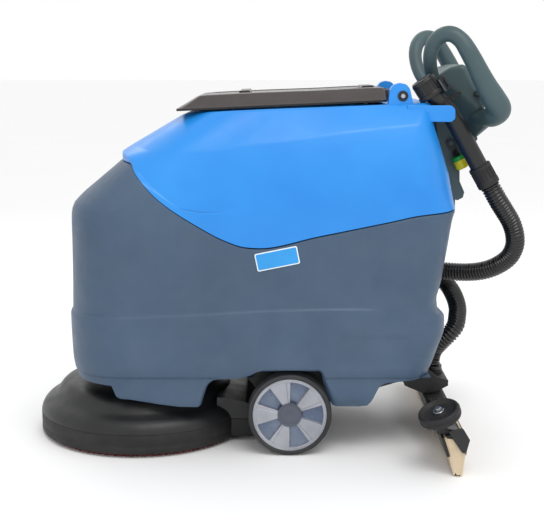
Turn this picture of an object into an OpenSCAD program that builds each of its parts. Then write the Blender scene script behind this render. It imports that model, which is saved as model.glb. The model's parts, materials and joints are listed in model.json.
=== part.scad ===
// Walk-behind wet and dry floor scrubber.
// Millimetres. +Z is up, the machine travels towards -X and the operator walks behind it at +X.
// The origin is on the floor, below the centre of the machine without its two free hoses.

/* [Wheels] */
// Diameter of a main wheel
wheel_d = 200; // [196:1:204]
// Width of a main wheel
wheel_w = 45; // [40:1:46]
// Distance between the outer faces of the main wheels
wheel_span = 490; // [486:1:492]
// Place of the axle behind the origin
axle_x = 60; // [58:1:62]

/* [Tanks] */
// Half the width of the lower tank
body_half = 252; // [250:1:254]
// Thickness of the moulded walls
wall = 6; // [5:0.5:7]
// Gap between the upper and the lower tank
seam_gap = 3; // [2:0.5:4]

/* [Brush deck] */
// Radius of the round deck
deck_r = 265; // [260:1:268]
// Place of the brush axis before the origin
deck_x = -308; // [-310:1:-306]
// Radius of the brush
brush_r = 254; // [246:1:254]
// How far the linkage lifts the deck
deck_lift = 32; // [28:1:34]

/* [Squeegee] */
// Length of the squeegee blades
squeegee_l = 760; // [740:1:780]
// Diameter of a wall bumper roller
bumper_d = 98; // [94:1:100]

/* [Hoses] */
// Outer diameter of the corrugated hoses
hose_d = 46; // [44:1:46]
// Outer diameter of the smooth tube on the drain hose
tube_d = 42; // [40:1:42]

/* [Hidden] */
$fn = 48;
eps = 0.01;
wheel_r = wheel_d / 2;
wheel_y = wheel_span / 2 - wheel_w / 2;
rim_r = wheel_r - 12;
axle_r = 10;
bearing_r = 17.5;
axle_half = wheel_span / 2 - 8;
pocket_in = wheel_span / 2 - wheel_w - 9;

// Side outline of the parting line between the tanks, as two curves
seam_front = [[-310, 690], [-215, 545], [-37, 502]];
seam_rear = [[-37, 502], [200, 550], [450, 588]];

// Sections of the lower tank: z, front x, rear x, half width
low_a = [[190, -474, 396, body_half - 8], [215, -478, 403, body_half - 2],
         [300, -480, 431, body_half], [328, -480, 431, body_half], [350, -478, 410, body_half]];
low_b = [[345, -476, 406, body_half - 4], [380, -476, 411, body_half - 3],
         [494, -476, 432, body_half - 2], [592, -476, 449, body_half - 3], [694, -350, 462, body_half - 18]];
// Sections of the upper tank: front z, rear z, front x, rear x, half width
up_a = [[490, 490, -350, 450, body_half - 2], [590, 590, -350, 447, body_half - 2],
        [604, 668, -349, 418, body_half - 4], [712, 786, -346, 391, body_half - 28],
        [797, 826, -205, 388, body_half - 74]];
front_corner = 105;
rear_corner = 55;

// Battery bay, motor well and deck bay inside the lower tank
bay_x = [-196, 140];
bay_y = 176;
bay_z = 263;
recess_x = 348;
recess_y = 130;
well_r = 88;
well_z = 352;
deck_bay_z = 250;

// Deck linkage: pivots on the frame, and how far forward and down the deck ends are
arm_reach = 188;
arm_drop = deck_lift / 2;
arm_low = [-30, 175];
arm_high = [-30, 207];
arm_y = 95;
arm_t = 6;
pin_r = 5;

// Squeegee: lift pivot, and the suction port whose hub is the swivel
lift_x = 340;
lift_z = 172;
port_x = 428;
hub_r = 24.5;
plate_y = 84;
knob_y = 150;
blade_half = squeegee_l / 2;
bumper_at = [398, 350, 139];
bumper_lean = [12, -20];

// Lid and console
lid_hinge = [321, 847];
pod_tilt = 24;
grip_y = 190;
panel_at = [497, 0, 868];

// Drain hose: the bends of its rigid tube from the cuff up to the cap, and the routes of the free hoses
tube_y = -158;
tube_bends = [[507, tube_y, 680], [432, tube_y, 811], [396, tube_y, 846.3], [387, tube_y, 859.5]];
cuff_ends = [[505, tube_y, 683.4], [531, tube_y, 638.8]];
cap_at = [386, tube_y, 854.5];
cap_lean = -33.7;
lever_pivot = [447, 733];
grip_y_in = 112;
// Centreline of the free stretch of the drain hose, from its cuff to the recovery tank's outlet
drain_route = [[531.8, tube_y, 637.5], [542, -158, 620.2], [555, -154, 599], [571, -146, 576], [590, -137, 547],
               [602, -128, 516], [606, -114, 486], [598, -98, 457], [578, -80, 434], [550, -62, 417],
               [518, -44, 408], [486, -28, 405], [454, -14, 405], [422, -5, 407], [392, 0, 408], [370.4, 0, 408]];
// Centreline of the free stretch of the suction hose, from the squeegee port to the tank inlet
suction_route = [[port_x, 0, 158.6], [428, 0, 178], [434, -6, 200], [450, -16, 222], [472, -20, 246], [486, -12, 264],
                 [492, 4, 282], [496, 24, 300], [494, 46, 318], [486, 70, 338], [472, 84, 356], [450, 90, 372],
                 [420, 92, 384], [404, 93, 388], [392, 93, 390], [370.4, 93, 390]];

// ---------- shared shapes ----------

function curve(p, n) = [for (i = [0 : n])
    let (t = i / n) (1 - t) * (1 - t) * p[0] + 2 * t * (1 - t) * p[1] + t * t * p[2]];

// A side outline (x, z) extruded between two y values
module side(points, y0, y1) {
    translate([0, y1, 0]) rotate([90, 0, 0]) linear_extrude(y1 - y0) polygon(points);
}

// A shape and its mirror image on the other side
module both() {
    children();
    mirror([0, 1, 0]) children();
}

// A straight rod between two points
module rod(a, b, r) {
    v = b - a;
    translate(a) rotate([0, acos(v[2] / norm(v)), atan2(v[1], v[0])]) cylinder(h = norm(v), r = r);
}

// A pin or bore along y
module cross_pin(x, z, y0, y1, r) {
    translate([x, y1, z]) rotate([90, 0, 0]) cylinder(h = y1 - y0, r = r);
}

// Four upright corner posts of one tank section, for a hull
module section_posts(zf, zr, xf, xr, w, rf, rr) {
    for (s = [-1, 1]) {
        translate([xf + rf, s * (w - rf), zf]) cylinder(h = 1, r = rf, $fn = 16);
        translate([xr - rr, s * (w - rr), zr]) cylinder(h = 1, r = rr, $fn = 16);
    }
}

// A tube with n sides swept along a route of [x, y, z, radius] points, with a ring at every point
module swept(route, n) {
    last = len(route) - 1;
    function at(i) = [route[i][0], route[i][1], route[i][2]];
    function along(i) = let (v = at(min(i + 1, last)) - at(max(i - 1, 0))) v / norm(v);
    function ring(i) = let (t = along(i), u = cross(t, [0, 1, 0.001]), a = u / norm(u), b = cross(t, a))
        [for (k = [0 : n - 1]) at(i) + route[i][3] * (cos(360 * k / n) * a + sin(360 * k / n) * b)];
    points = [for (i = [0 : last]) each ring(i)];
    walls = [for (i = [0 : last - 1], k = [0 : n - 1]) let (m = (k + 1) % n)
        [i * n + k, (i + 1) * n + k, (i + 1) * n + m, i * n + m]];
    polyhedron(points, concat([[for (k = [0 : n - 1]) k]], walls,
        [[for (k = [n - 1 : -1 : 0]) last * n + k]]), convexity = 8);
}

// Catmull-Rom points between the points of a route
function smooth_route(p, n) = let (last = len(p) - 1) concat([for (i = [0 : last - 1], k = [0 : n - 1])
    let (t = k / n, a = p[max(i - 1, 0)], b = p[i], c = p[i + 1], d = p[min(i + 2, last)])
    0.5 * (2 * b + (c - a) * t + (2 * a - 5 * b + 4 * c - d) * t * t + (3 * b - a - 3 * c + d) * t * t * t)],
    [p[last]]);

// ---------- tanks ----------

// Everything above the parting line, moved up by dz
module above_seam(dz) {
    line = concat([[-700, 690]], curve(seam_front, 14), curve(seam_rear, 10), [[700, 604]]);
    side(concat([for (p = line) [p[0], p[1] + dz]], [[700, 1000], [-700, 1000]]), -400, 400);
}

// Body of the lower tank, inset by t
module lower_envelope(t) {
    hull() for (s = low_a)
        section_posts(s[0] + (s[0] < 200 ? t : 0), s[0] + (s[0] < 200 ? t : 0), s[1] + t, s[2] - t, s[3] - t,
            front_corner, rear_corner);
    hull() for (s = low_b)
        section_posts(s[0], s[0], s[1] + t, s[2] - t, s[3] - t, front_corner, rear_corner);
}

// What the lower tank makes room for: seam, bays, wheel pockets and hose recess, grown by t
module lower_rooms(t) {
    above_seam(-t);
    translate([bay_x[0] - t, -bay_y - t, bay_z - t])
        cube([bay_x[1] - bay_x[0] + 2 * t, 2 * (bay_y + t), 500]);
    translate([recess_x - t, -recess_y - t, 100]) cube([300, 2 * (recess_y + t), 600]);
    translate([-450 - t, -218 - t, 100]) cube([445 + 2 * t, 2 * (218 + t), deck_bay_z - 100 + t]);
    translate([deck_x, 0, 100]) cylinder(h = well_z - 100 + t, r = well_r + t);
    both() side([[-30 - t, 100], [-30 - t, 196], [-18 - t, 210 + t], [134 + t, 210 + t], [178 + t, 100]],
        pocket_in - t, 400);
}

// Skirt round the front of the lower tank
module front_skirt() hull() {
    section_posts(170, 170, -470, -230, body_half - 11, front_corner, 12);
    section_posts(191, 191, -471, -230, body_half - 10, front_corner, 12);
}

module solution_tank() color([0.36, 0.42, 0.49]) {
    difference() {
        union() {
            lower_envelope(0);
            front_skirt();
        }
        lower_rooms(0);
        difference() {
            lower_envelope(wall);
            lower_rooms(wall);
        }
        translate([recess_x - 20, 60, 500]) rotate([0, 90, 0]) cylinder(h = 40, r = 30);
    }
    both() {
        side([[-366, 144], [-352, 142], [-230, 124], [-160, 118], [-156, 136], [-146, 158], [-130, 176],
            [-110, 186], [-60, 192], [-60, 215], [-366, 215]], 235, 243);
        difference() {
            side([[144, 192], [171, 130], [180, 127], [236, 127], [247, 129], [284, 186], [286, 192]], 170, 246);
            translate([225, 246, 100]) rotate([0, 0, -38]) cube([140, 60, 100]);
        }
    }
}

module upper_envelope(t) {
    hull() for (s = up_a)
        section_posts(s[0] - (s[0] > 790 ? t : 0), s[1] - (s[0] > 790 ? t : 0), s[2] + t, s[3] - t, s[4] - t,
            front_corner - 25, rear_corner);
}

// The two rear lugs that carry the lid's hinge pins
module lid_lugs() both() difference() {
    side([[289, 816], [292, 862], [300, 871], [312, 875], [327, 873], [335, 866], [351, 818]], 150, 174);
    cross_pin(lid_hinge[0], lid_hinge[1], 140, 190, 6);
}

module recovery_tank() color([0.12, 0.5, 0.93]) {
    difference() {
        union() {
            difference() {
                upper_envelope(0);
                difference() {
                    translate([-700, -400, 0]) cube([1400, 800, 900]);
                    above_seam(seam_gap);
                }
            }
            both() side([[360, 788], [435, 788], [441, 794], [441, 818], [434, 825], [360, 825]], 126, 190);
        }
        intersection() {
            upper_envelope(wall);
            above_seam(seam_gap + wall);
        }
        translate([-150, -125, 700]) cube([400, 250, 300]);
        side([[386, 835], [480, 835], [480, 780], [412, 780], [391.5, 812], [386, 820]], tube_y - 25.5, tube_y + 25.5);
    }
    lid_lugs();
}

module lid_hinge_pins() color([0.08, 0.08, 0.09]) both() {
    cross_pin(lid_hinge[0], lid_hinge[1], 128, 176, 5.9);
    difference() {
        cross_pin(lid_hinge[0], lid_hinge[1], 176, 181, 11);
        translate([lid_hinge[0], 182, lid_hinge[1]]) rotate([90, 20, 0]) cylinder(h = 4, r = 5, $fn = 6);
    }
}

// Outlet and inlet stubs behind the tanks, which the two hoses push onto
module tank_fittings() color([0.1, 0.1, 0.11]) {
    for (p = [[0, 408], [93, 390]]) {
        translate([recess_x, p[0], p[1]]) rotate([0, 90, 0]) difference() {
            union() {
                cylinder(h = 6, r = 36);
                cylinder(h = 22, r = hose_d / 2 + 5);
            }
            translate([0, 0, -1]) cylinder(h = 40, r = hose_d / 2 - 5);
        }
        for (a = [45 : 90 : 315])
            translate([recess_x + 6, p[0] + 31 * cos(a), p[1] + 31 * sin(a)]) rotate([0, 90, 0])
                cylinder(h = 3, r = 4, $fn = 6);
    }
}

module filler_cap() color([0.1, 0.1, 0.11]) translate([recess_x, 60, 500]) rotate([0, 90, 0]) {
    cylinder(h = 16, r = 36);
    translate([0, 0, -14]) cylinder(h = 14, r = 29.5);
    for (a = [0 : 30 : 330]) rotate([0, 0, a]) translate([34, -3, 0]) cube([5, 6, 15]);
}

module name_plate() color([0.05, 0.55, 0.95]) both()
    translate([30, body_half - 1.9, 478]) rotate([90, -11.5, 180])
        linear_extrude(1.9) square([100, 42], center = true);

module battery_pack() color([0.13, 0.13, 0.15]) for (s = [-1, 1]) {
    difference() {
        translate([bay_x[0] + 3, s > 0 ? 2 : -174, bay_z + 2]) cube([330, 172, 200]);
        for (x = [-120, 40]) translate([x, s * 88 - 40, bay_z + 192]) cube([24, 80, 20]);
    }
    for (x = [-168, 112]) translate([x, s * 88, bay_z + 202]) cylinder(h = 14, r = 9);
}

// ---------- frame, wheels ----------

module chassis_frame() color([0.16, 0.17, 0.18]) {
    difference() {
        union() {
            both() {
                side([[-45, 160], [-45, 215], [-14, 215], [-8, 186], [330, 186], [346, 186], [346, 160], [330, 148],
                    [120, 84], [20, 84]], 120, 126);
                side([[lift_x - 16, 150], [lift_x - 16, 184], [lift_x + 6, 184], [lift_x + 14, lift_z],
                    [lift_x + 8, 156]], 62, 68);
                side([[-46, 162], [-46, 219], [-14, 219], [-6, 186], [-6, 162]], 104, 110);
            }
            translate([-4, -126, 183]) cube([345, 252, 5.5]);
            translate([-2, -168, 177]) cube([328, 336, 6]);
            translate([300, -120, 150]) cube([6, 240, 30]);
            translate([-14, -120, 162]) cube([8, 240, 20]);
        }
        cross_pin(axle_x, wheel_r, -130, 130, axle_r + 0.2);
    }
    both() {
        cross_pin(arm_low[0], arm_low[1], arm_y - 12, 124, pin_r);
        cross_pin(arm_high[0], arm_high[1], arm_y - 12, 124, pin_r);
    }
    cross_pin(lift_x, lift_z, -94, 94, pin_r);
}

module main_axle() color([0.7, 0.71, 0.73])
    cross_pin(axle_x, wheel_r, -axle_half, axle_half, axle_r);

module tyre() color([0.09, 0.09, 0.1]) translate([axle_x, wheel_y, wheel_r]) rotate([90, 0, 0])
    rotate_extrude($fn = 96) polygon([[rim_r, -wheel_w / 2 + 2], [wheel_r - 5, -wheel_w / 2],
        [wheel_r - 1.5, -wheel_w / 2 + 3], [wheel_r, -wheel_w / 2 + 8], [wheel_r, wheel_w / 2 - 8],
        [wheel_r - 1.5, wheel_w / 2 - 3], [wheel_r - 5, wheel_w / 2], [rim_r, wheel_w / 2 - 2]]);

module rim() color([0.66, 0.67, 0.7]) translate([axle_x, wheel_y, wheel_r]) rotate([90, 0, 0]) difference() {
    union() {
        difference() {
            cylinder(h = wheel_w - 6, r = rim_r, center = true);
            cylinder(h = wheel_w, r = rim_r - 8, center = true);
        }
        cylinder(h = 8, r = rim_r - 4, center = true);
        cylinder(h = wheel_w - 8, r = 25.9, center = true);
        for (a = [33 : 72 : 321]) rotate([0, 0, a]) intersection() {
            cylinder(h = wheel_w - 12, r = rim_r - 4, center = true);
            linear_extrude(wheel_w - 12, center = true)
                polygon([[0, 0], [rim_r, -rim_r * tan(16)], [rim_r, rim_r * tan(16)]]);
        }
    }
    cylinder(h = wheel_w, r = bearing_r, center = true);
}

module bearings() color([0.75, 0.76, 0.78]) for (s = [-1, 1])
    translate([axle_x, wheel_y + s * 11, wheel_r]) rotate([90, 0, 0]) difference() {
        cylinder(h = 11, r = bearing_r - 0.02, center = true);
        cylinder(h = 12, r = axle_r + 0.05, center = true);
    }

module hub_cap() color([0.3, 0.32, 0.37]) translate([axle_x, wheel_span / 2 - 4, wheel_r]) rotate([90, 0, 0])
    translate([0, 0, -2.5]) difference() {
        cylinder(h = 4.4, r = 29);
        translate([0, 0, 2]) cylinder(h = 5, r = 26);
    }

// ---------- brush deck ----------

module deck_cover() color([0.1, 0.1, 0.11]) {
    difference() {
        translate([deck_x, 0, 0]) rotate_extrude($fn = 96) polygon([[0, 128], [186, 128], [200, 122], [218, 103],
            [223, 78], [224, 71], [254, 66], [deck_r - 5, 57], [deck_r, 57], [deck_r, 68], [256, 73], [230, 77],
            [226, 106], [206, 129], [192, 134], [0, 134]]);
        translate([deck_x, 0, 100]) cylinder(h = 60, r = 40);
        translate([-90, -160, 40]) cube([200, 320, 100]);
    }
    difference() {
        side([[-110, 57], [-8, 57], [-8, 72], [-46, 104], [-110, 118]], -140, 140);
        side([[-115, 50], [-14, 50], [-14, 68], [-48, 98], [-115, 112]], -134, 134);
        translate([deck_x, 0, 20]) cylinder(h = 150, r = 225);
    }
}

module deck_skirt() color([0.06, 0.06, 0.07]) {
    difference() {
        translate([deck_x, 0, 9]) cylinder(h = 47.5, r = deck_r, $fn = 96);
        translate([deck_x, 0, 0]) cylinder(h = 80, r = deck_r - 6, $fn = 96);
        translate([-90, -134, 0]) cube([200, 268, 100]);
    }
    difference() {
        translate([-92, -140, 12]) cube([84, 280, 44.5]);
        translate([-95, -134, 0]) cube([81, 268, 100]);
        translate([deck_x, 0, 0]) cylinder(h = 150, r = deck_r - 3);
    }
}

module brush_motor() color([0.2, 0.2, 0.22]) translate([deck_x, 0, 0]) {
    difference() {
        translate([0, 0, 134.5]) cylinder(h = 12, r = 75);
        for (a = [30 : 60 : 330]) rotate([0, 0, a]) translate([68, 0, 130]) cylinder(h = 30, r = 3);
    }
    translate([0, 0, 146.5]) cylinder(h = 118, r = 62);
    translate([0, 0, 264.5]) cylinder(h = 18, r = 50);
    translate([0, 0, 92]) cylinder(h = 42.5, r = 12);
}

// Ears on the deck, whose pins the four linkage arms turn on
module deck_brackets() color([0.16, 0.17, 0.18]) both() {
    x = arm_low[0] - arm_reach;
    side([[x - 20, 134.3], [x - 12, 192], [x - 4, 200], [x + 6, 200], [x + 12, 192], [x + 18, 134.3]],
        arm_y + arm_t / 2 + 3, arm_y + arm_t / 2 + 9);
    cross_pin(x, arm_low[1] - arm_drop, arm_y - 8, arm_y + arm_t / 2 + 4, pin_r);
    cross_pin(x, arm_high[1] - arm_drop, arm_y - 8, arm_y + arm_t / 2 + 4, pin_r);
    translate([x - 24, 100, 134.3]) cube([48, 30, 5]);
}

// One linkage arm between a frame pin and a deck pin
module arm(at) {
    b = [at[0] - arm_reach, at[1] - arm_drop];
    difference() {
        union() {
            cross_pin(at[0], at[1], arm_y - arm_t / 2, arm_y + arm_t / 2, 11);
            cross_pin(b[0], b[1], arm_y - arm_t / 2, arm_y + arm_t / 2, 11);
            side([[at[0], at[1] - 8], [b[0], b[1] - 8], [b[0], b[1] + 8], [at[0], at[1] + 8]],
                arm_y - arm_t / 2, arm_y + arm_t / 2);
        }
        cross_pin(at[0], at[1], 0, 200, pin_r + 0.1);
        cross_pin(b[0], b[1], 0, 200, pin_r + 0.1);
    }
}

module lower_deck_arms() color([0.2, 0.21, 0.23]) {
    both() arm(arm_low);
    cross_pin(-110, arm_low[1] - arm_drop * 80 / arm_reach, -arm_y, arm_y, 6);
}

module upper_deck_arms() color([0.2, 0.21, 0.23]) both() arm(arm_high);

module brush_disc() color([0.75, 0.1, 0.08]) translate([deck_x, 0, 0]) difference() {
    union() {
        translate([0, 0, 44]) cylinder(h = 12.4, r = brush_r - 3, $fn = 96);
        translate([0, 0, 56]) cylinder(h = 34, r = 55);
    }
    translate([0, 0, 40]) cylinder(h = 60, r = 12.2);
}

// The tufts stand on the disc as concentric bands
module brush_bristles() color([0.75, 0.12, 0.08]) translate([deck_x, 0, 0])
    for (r = [130, 200]) difference() {
        cylinder(h = 44, r = r == 200 ? brush_r : 160, $fn = 96);
        translate([0, 0, -1]) cylinder(h = 50, r = r == 200 ? 196 : 120, $fn = 96);
    }

// ---------- squeegee ----------

module squeegee_arm() color([0.13, 0.14, 0.15]) difference() {
    union() {
        both() side([[329, 166], [329, 176], [337, 180.5], [350, 180.5], [398, 178], [430, 150], [459, 141],
            [459, 127], [428, 110], [396, 107], [350, 127], [336, 160]], plate_y, plate_y + 5);
        translate([386, -plate_y, 128]) cube([73, 2 * plate_y, 12]);
    }
    cross_pin(lift_x, lift_z, -200, 200, pin_r + 0.1);
    translate([port_x, 0, 90]) cylinder(h = 90, r = hub_r + 0.1);
}

// The plate that the squeegee hangs from, with the hollow hub it swivels on
module squeegee_yoke() color([0.13, 0.14, 0.15]) difference() {
    union() {
        translate([396, -168, 96]) cube([56, 336, 8]);
        translate([port_x, 0, 103]) cylinder(h = 43, r = hub_r);
        translate([port_x, 0, 103]) cylinder(h = 24.6, r = hub_r + 4);
        translate([port_x, 0, 140.4]) cylinder(h = 5.6, r = hub_r + 4);
    }
    translate([port_x, 0, 90]) cylinder(h = 90, r = hub_r - 4.2);
    for (s = [-1, 1]) translate([420, s * knob_y, 90]) cylinder(h = 30, r = 4.2);
}

// The leaning frame of the right roller: z is its axle
module bumper_frame() translate(bumper_at) rotate([-bumper_lean[0], bumper_lean[1], 0]) children();

// Casting between the two blades, with a bracket and an axle stub for each roller
module squeegee_body() color([0.1, 0.1, 0.11]) {
    difference() {
        side([[411, 95], [446, 95], [450, 62], [448, 46], [429, 40], [420, 60]], -blade_half + 6, blade_half - 6);
        side([[422, 74], [441, 74], [442, 30], [427, 30]], -blade_half + 14, blade_half - 14);
        translate([port_x, 0, 60]) cylinder(h = 60, r = 14.05);
        for (s = [-1, 1]) translate([420, s * knob_y, 83]) cylinder(h = 30, r = 4.2);
    }
    both() {
        side([[392, 95.2], [440, 95.2], [440, 103], [394, 112], [390, 108]], bumper_at[1] - 18, bumper_at[1] + 14);
        bumper_frame() translate([0, 0, -34]) cylinder(h = 19, r = 11);
        bumper_frame() translate([0, 0, -16]) cylinder(h = 24, r = 5);
        bumper_frame() translate([0, 0, 8.4]) cylinder(h = 2, r = 9);
        bumper_frame() translate([0, 0, 8]) cylinder(h = 7, r = 6.5, $fn = 6);
    }
}

module front_blade() color([0.8, 0.72, 0.56])
    side([[406, 92], [410.5, 92], [433, 8], [430, 1], [427.5, 8]], -blade_half + 2, blade_half - 2);

module rear_blade() color([0.8, 0.72, 0.56])
    side([[453.5, 86], [458, 86], [448, 0], [443.5, 0]], -blade_half, blade_half);

module blade_straps() color([0.12, 0.12, 0.13]) {
    side([[400.5, 90], [405.3, 90], [416, 50], [411.4, 50]], -blade_half + 20, blade_half - 20);
    side([[458.7, 84], [461.7, 84], [457.9, 48], [454.6, 48]], -blade_half + 10, blade_half - 10);
    for (y = [-330 : 110 : 330]) translate([458.2, y, 66]) rotate([0, 84, 0]) {
        cylinder(h = 8, r = 5);
        for (a = [0, 90]) rotate([0, 0, a]) translate([-9, -2, 2]) cube([18, 4, 6]);
    }
}

module suction_port() color([0.1, 0.1, 0.11]) translate([port_x, 0, 0]) difference() {
    union() {
        translate([0, 0, 146.4]) cylinder(h = 11.4, r = hose_d / 2 + 4);
        translate([0, 0, 95.2]) cylinder(h = 53, r = hub_r - 4.5);
        translate([0, 0, 79]) cylinder(h = 18, r = 14);
    }
    translate([0, 0, 50]) cylinder(h = 150, r = 11.5);
}

module squeegee_knobs() color([0.08, 0.08, 0.09]) for (s = [-1, 1]) translate([420, s * knob_y, 0]) {
    translate([0, 0, 84]) cylinder(h = 24, r = 4);
    translate([0, 0, 104.2]) cylinder(h = 14, r = 13);
    for (a = [0 : 72 : 288]) rotate([0, 0, a]) translate([14, 0, 106]) cylinder(h = 12, r = 6);
}

// A dished roller turning on its leaning stub
module bumper_roller() bumper_frame() {
    color([0.07, 0.07, 0.08]) difference() {
        rotate_extrude($fn = 72) polygon([[5.1, -12], [bumper_d / 2 - 6, -14], [bumper_d / 2, -8],
            [bumper_d / 2, 6], [bumper_d / 2 - 4, 12], [bumper_d / 2 - 8, 12], [bumper_d / 2 - 12, 3], [12, 3],
            [10, 8], [5.1, 8]]);
    }
}

// ---------- lid, console ----------

module recovery_lid() color([0.14, 0.12, 0.12]) {
    difference() {
        side([[-206, 812], [-196, 826], [-172, 842], [-150, 847], [-40, 853], [277, 865.7], [286, 863.7], [288, 833.2]],
            -160, 160);
        side([[-190, 806], [-182, 818], [-160, 838], [-40, 849], [278, 861.7], [281, 830]], -152, 152);
        both() translate([-300, 160, 812]) rotate([-52, 0, 0]) translate([0, 0, -60]) cube([700, 80, 200]);
    }
    difference() {
        union() {
            side([[279, 840], [279, 862], [lid_hinge[0], 858], [lid_hinge[0], 836]], -128 + eps, 128 - eps);
            cross_pin(lid_hinge[0], lid_hinge[1], -127, 127, 11);
        }
        cross_pin(lid_hinge[0], lid_hinge[1], -140, 140, 6);
        translate([270, -110, 800]) cube([80, 220, 90]);
    }
}

module lid_gasket() color([0.05, 0.05, 0.06]) rotate([0, -2.55, 0]) translate([36.5, 0, 819.5]) difference() {
    translate([-174, -151.9, 0.8]) cube([448, 303.8, 5]);
    translate([-162, -139.9, -1]) cube([424, 279.8, 10]);
}

module vacuum_motor() color([0.2, 0.2, 0.22]) translate([330, -40, 640]) {
    cylinder(h = 60, r = 62);
    translate([0, 0, 60]) cylinder(h = 70, r = 45);
    translate([0, 0, 130]) cylinder(h = 8, r = 20);
}

module suction_filter() color([0.75, 0.76, 0.78]) difference() {
    translate([200, 60, 640]) cylinder(h = 120, r = 40);
    translate([200, 60, 636]) cylinder(h = 118, r = 37);
    for (a = [0, 60, 120]) translate([200, 60, 690]) rotate([0, 0, a]) cube([100, 8, 80], center = true);
}

module solenoid_valve() color([0.16, 0.3, 0.2]) {
    translate([200, 60, 145]) cube([44, 40, 32]);
    translate([222, 80, 118]) cylinder(h = 27, r = 14);
    translate([150, 80, 160]) rotate([0, 90, 0]) cylinder(h = 50, r = 8);
}

module charge_socket() color([0.12, 0.12, 0.13]) translate([recess_x, -92, 500]) rotate([0, 90, 0]) {
    difference() {
        cylinder(h = 10, r = 26);
        translate([0, 0, 4]) cylinder(h = 8, r = 18);
    }
    for (s = [-1, 1]) translate([0, 7 * s, 2]) cylinder(h = 7, r = 3);
}

// The raked column behind the tanks that carries the console, with stub pins for the two levers
module stem_block() side([[410, 800], [418, 730], [452, 626], [456, 598], [468, 594], [481, 601], [484, 614],
    [472, 640], [471, 668], [490, 712], [512, 742], [500, 788]], -92, 92);

module console_stem() color([0.15, 0.19, 0.19]) {
    difference() {
        union() {
            stem_block();
            translate([456, -70, 560]) cube([10, 140, 40]);
        }
        side([[430, 785], [430, 735], [459, 650], [464, 668], [484, 716], [500, 745], [490, 781]], -86, 86);
    }
    both() cross_pin(lever_pivot[0], lever_pivot[1], 90, 103, 5);
}

// The console pod is a lofted bowl that leans back from the stem, with a sunk face for the controls
module pod_block() hull() for (s = [-1, 1]) {
    translate([424, s * 92, 884]) sphere(r = 16, $fn = 20);
    translate([462, s * 98, 906]) sphere(r = 14, $fn = 20);
    translate([500, s * 106, 822]) sphere(r = 18, $fn = 20);
    translate([496, s * 90, 806]) sphere(r = 18, $fn = 20);
    translate([436, s * 76, 822]) sphere(r = 16, $fn = 20);
    translate([470, s * 70, 806]) sphere(r = 17, $fn = 20);
}

module console_pod() color([0.24, 0.3, 0.31]) {
    difference() {
        pod_block();
        panel_frame() translate([-49, -93, -9]) cube([92, 186, 80]);
        stem_block();
    }
    both() cross_pin(500, 851, 110, 136, 4);
}

// Centreline and radius of the right-hand loop
loop_route = [[424, 84, 868, 14], [405, 99, 880, 15], [392, 117, 908, 16], [387, 136, 940, 16.5],
    [393, 153, 968, 17.5], [409, 168, 985, 18], [430, 178, 987, 18.5], [450, 185, 973, 19],
    [466, grip_y, 951, 19.5], [482, grip_y, 924, 20], [498, grip_y, 896, 20.5], [514, grip_y - 1, 868, 22],
    [532, grip_y - 4, 840, 25], [546, grip_y - 14, 817, 27], [538, grip_y - 32, 802, 25],
    [524, grip_y - 58, 795, 22], [508, grip_y - 86, 792, 20], [498, grip_y - 108, 792, 18]];

module handle_loops() color([0.22, 0.29, 0.3]) both() difference() {
    swept(smooth_route(loop_route, 3), 14);
    pod_block();
    stem_block();
}

module panel_frame() translate(panel_at) rotate([0, 90 - pod_tilt, 0]) children();

module control_panel() color([0.07, 0.07, 0.08]) panel_frame() difference() {
    translate([-48, -92, -8.95]) cube([90, 184, 4]);
    for (y = [-60, -24]) translate([-22, y, -12]) cylinder(h = 10, r = 9.6);
    translate([20, -50, -12]) cylinder(h = 10, r = 10.4);
    translate([20, 50, -12]) cylinder(h = 10, r = 6.4);
}

module battery_gauge() color([0.02, 0.1, 0.14]) panel_frame() translate([-36, 10, -4.9]) cube([26, 52, 2.4]);

module key_switch() color([0.75, 0.76, 0.78]) panel_frame() translate([20, -50, 0]) {
    translate([0, 0, -8.5]) cylinder(h = 6, r = 10);
    translate([-9, -1.5, -2.6]) cube([18, 3, 12]);
}

module push_button(y) panel_frame() translate([-22, y, -5.5]) {
    cylinder(h = 6, r = 9.2);
    translate([0, 0, 5.9]) cylinder(h = 1.2, r = 7.5);
}

module brush_button() color([0.1, 0.6, 0.2]) push_button(-60);
module vacuum_button() color([0.1, 0.35, 0.8]) push_button(-24);

module water_knob() color([0.1, 0.1, 0.11]) panel_frame() translate([20, 50, 0]) {
    translate([0, 0, -8.5]) cylinder(h = 5, r = 6);
    translate([0, 0, -4.6]) cylinder(h = 13, r = 14);
    translate([-15, -2, 8.3]) cube([26, 4, 5]);
}

// Thumb bar between the grips: it turns on two stubs and is held while driving
module drive_bar() color([0.08, 0.08, 0.09]) {
    cross_pin(530, 858, -133, 133, 7);
    both() difference() {
        side([[493, 845], [493, 855], [501, 859], [530, 865], [535, 858], [530, 851], [505, 843]], 127, 133);
        cross_pin(500, 851, 120, 140, 4.1);
    }
}

// A flat lever beside the stem; the grip hangs at its lower end
module lever() {
    difference() {
        union() {
            cross_pin(lever_pivot[0], lever_pivot[1], 95.5, 100.5, 11);
            side([[437, 729], [455, 702], [466, 708], [457, 737]], 95.5, 100.5);
        }
        cross_pin(lever_pivot[0], lever_pivot[1], 90, 110, 5.15);
    }
    difference() {
        rod([458, 98, 712], [460.5, grip_y_in, 707], 6);
        grip();
    }
}

module grip() rod([462, grip_y_in, 704], [477, grip_y_in, 675], 17);

module squeegee_lever() color([0.16, 0.17, 0.18]) mirror([0, 1, 0]) lever();
module squeegee_grip() color([0.72, 0.68, 0.1]) mirror([0, 1, 0]) grip();
module deck_lever() color([0.16, 0.17, 0.18]) lever();
module deck_grip() color([0.1, 0.1, 0.11]) grip();

// ---------- hoses ----------

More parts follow.
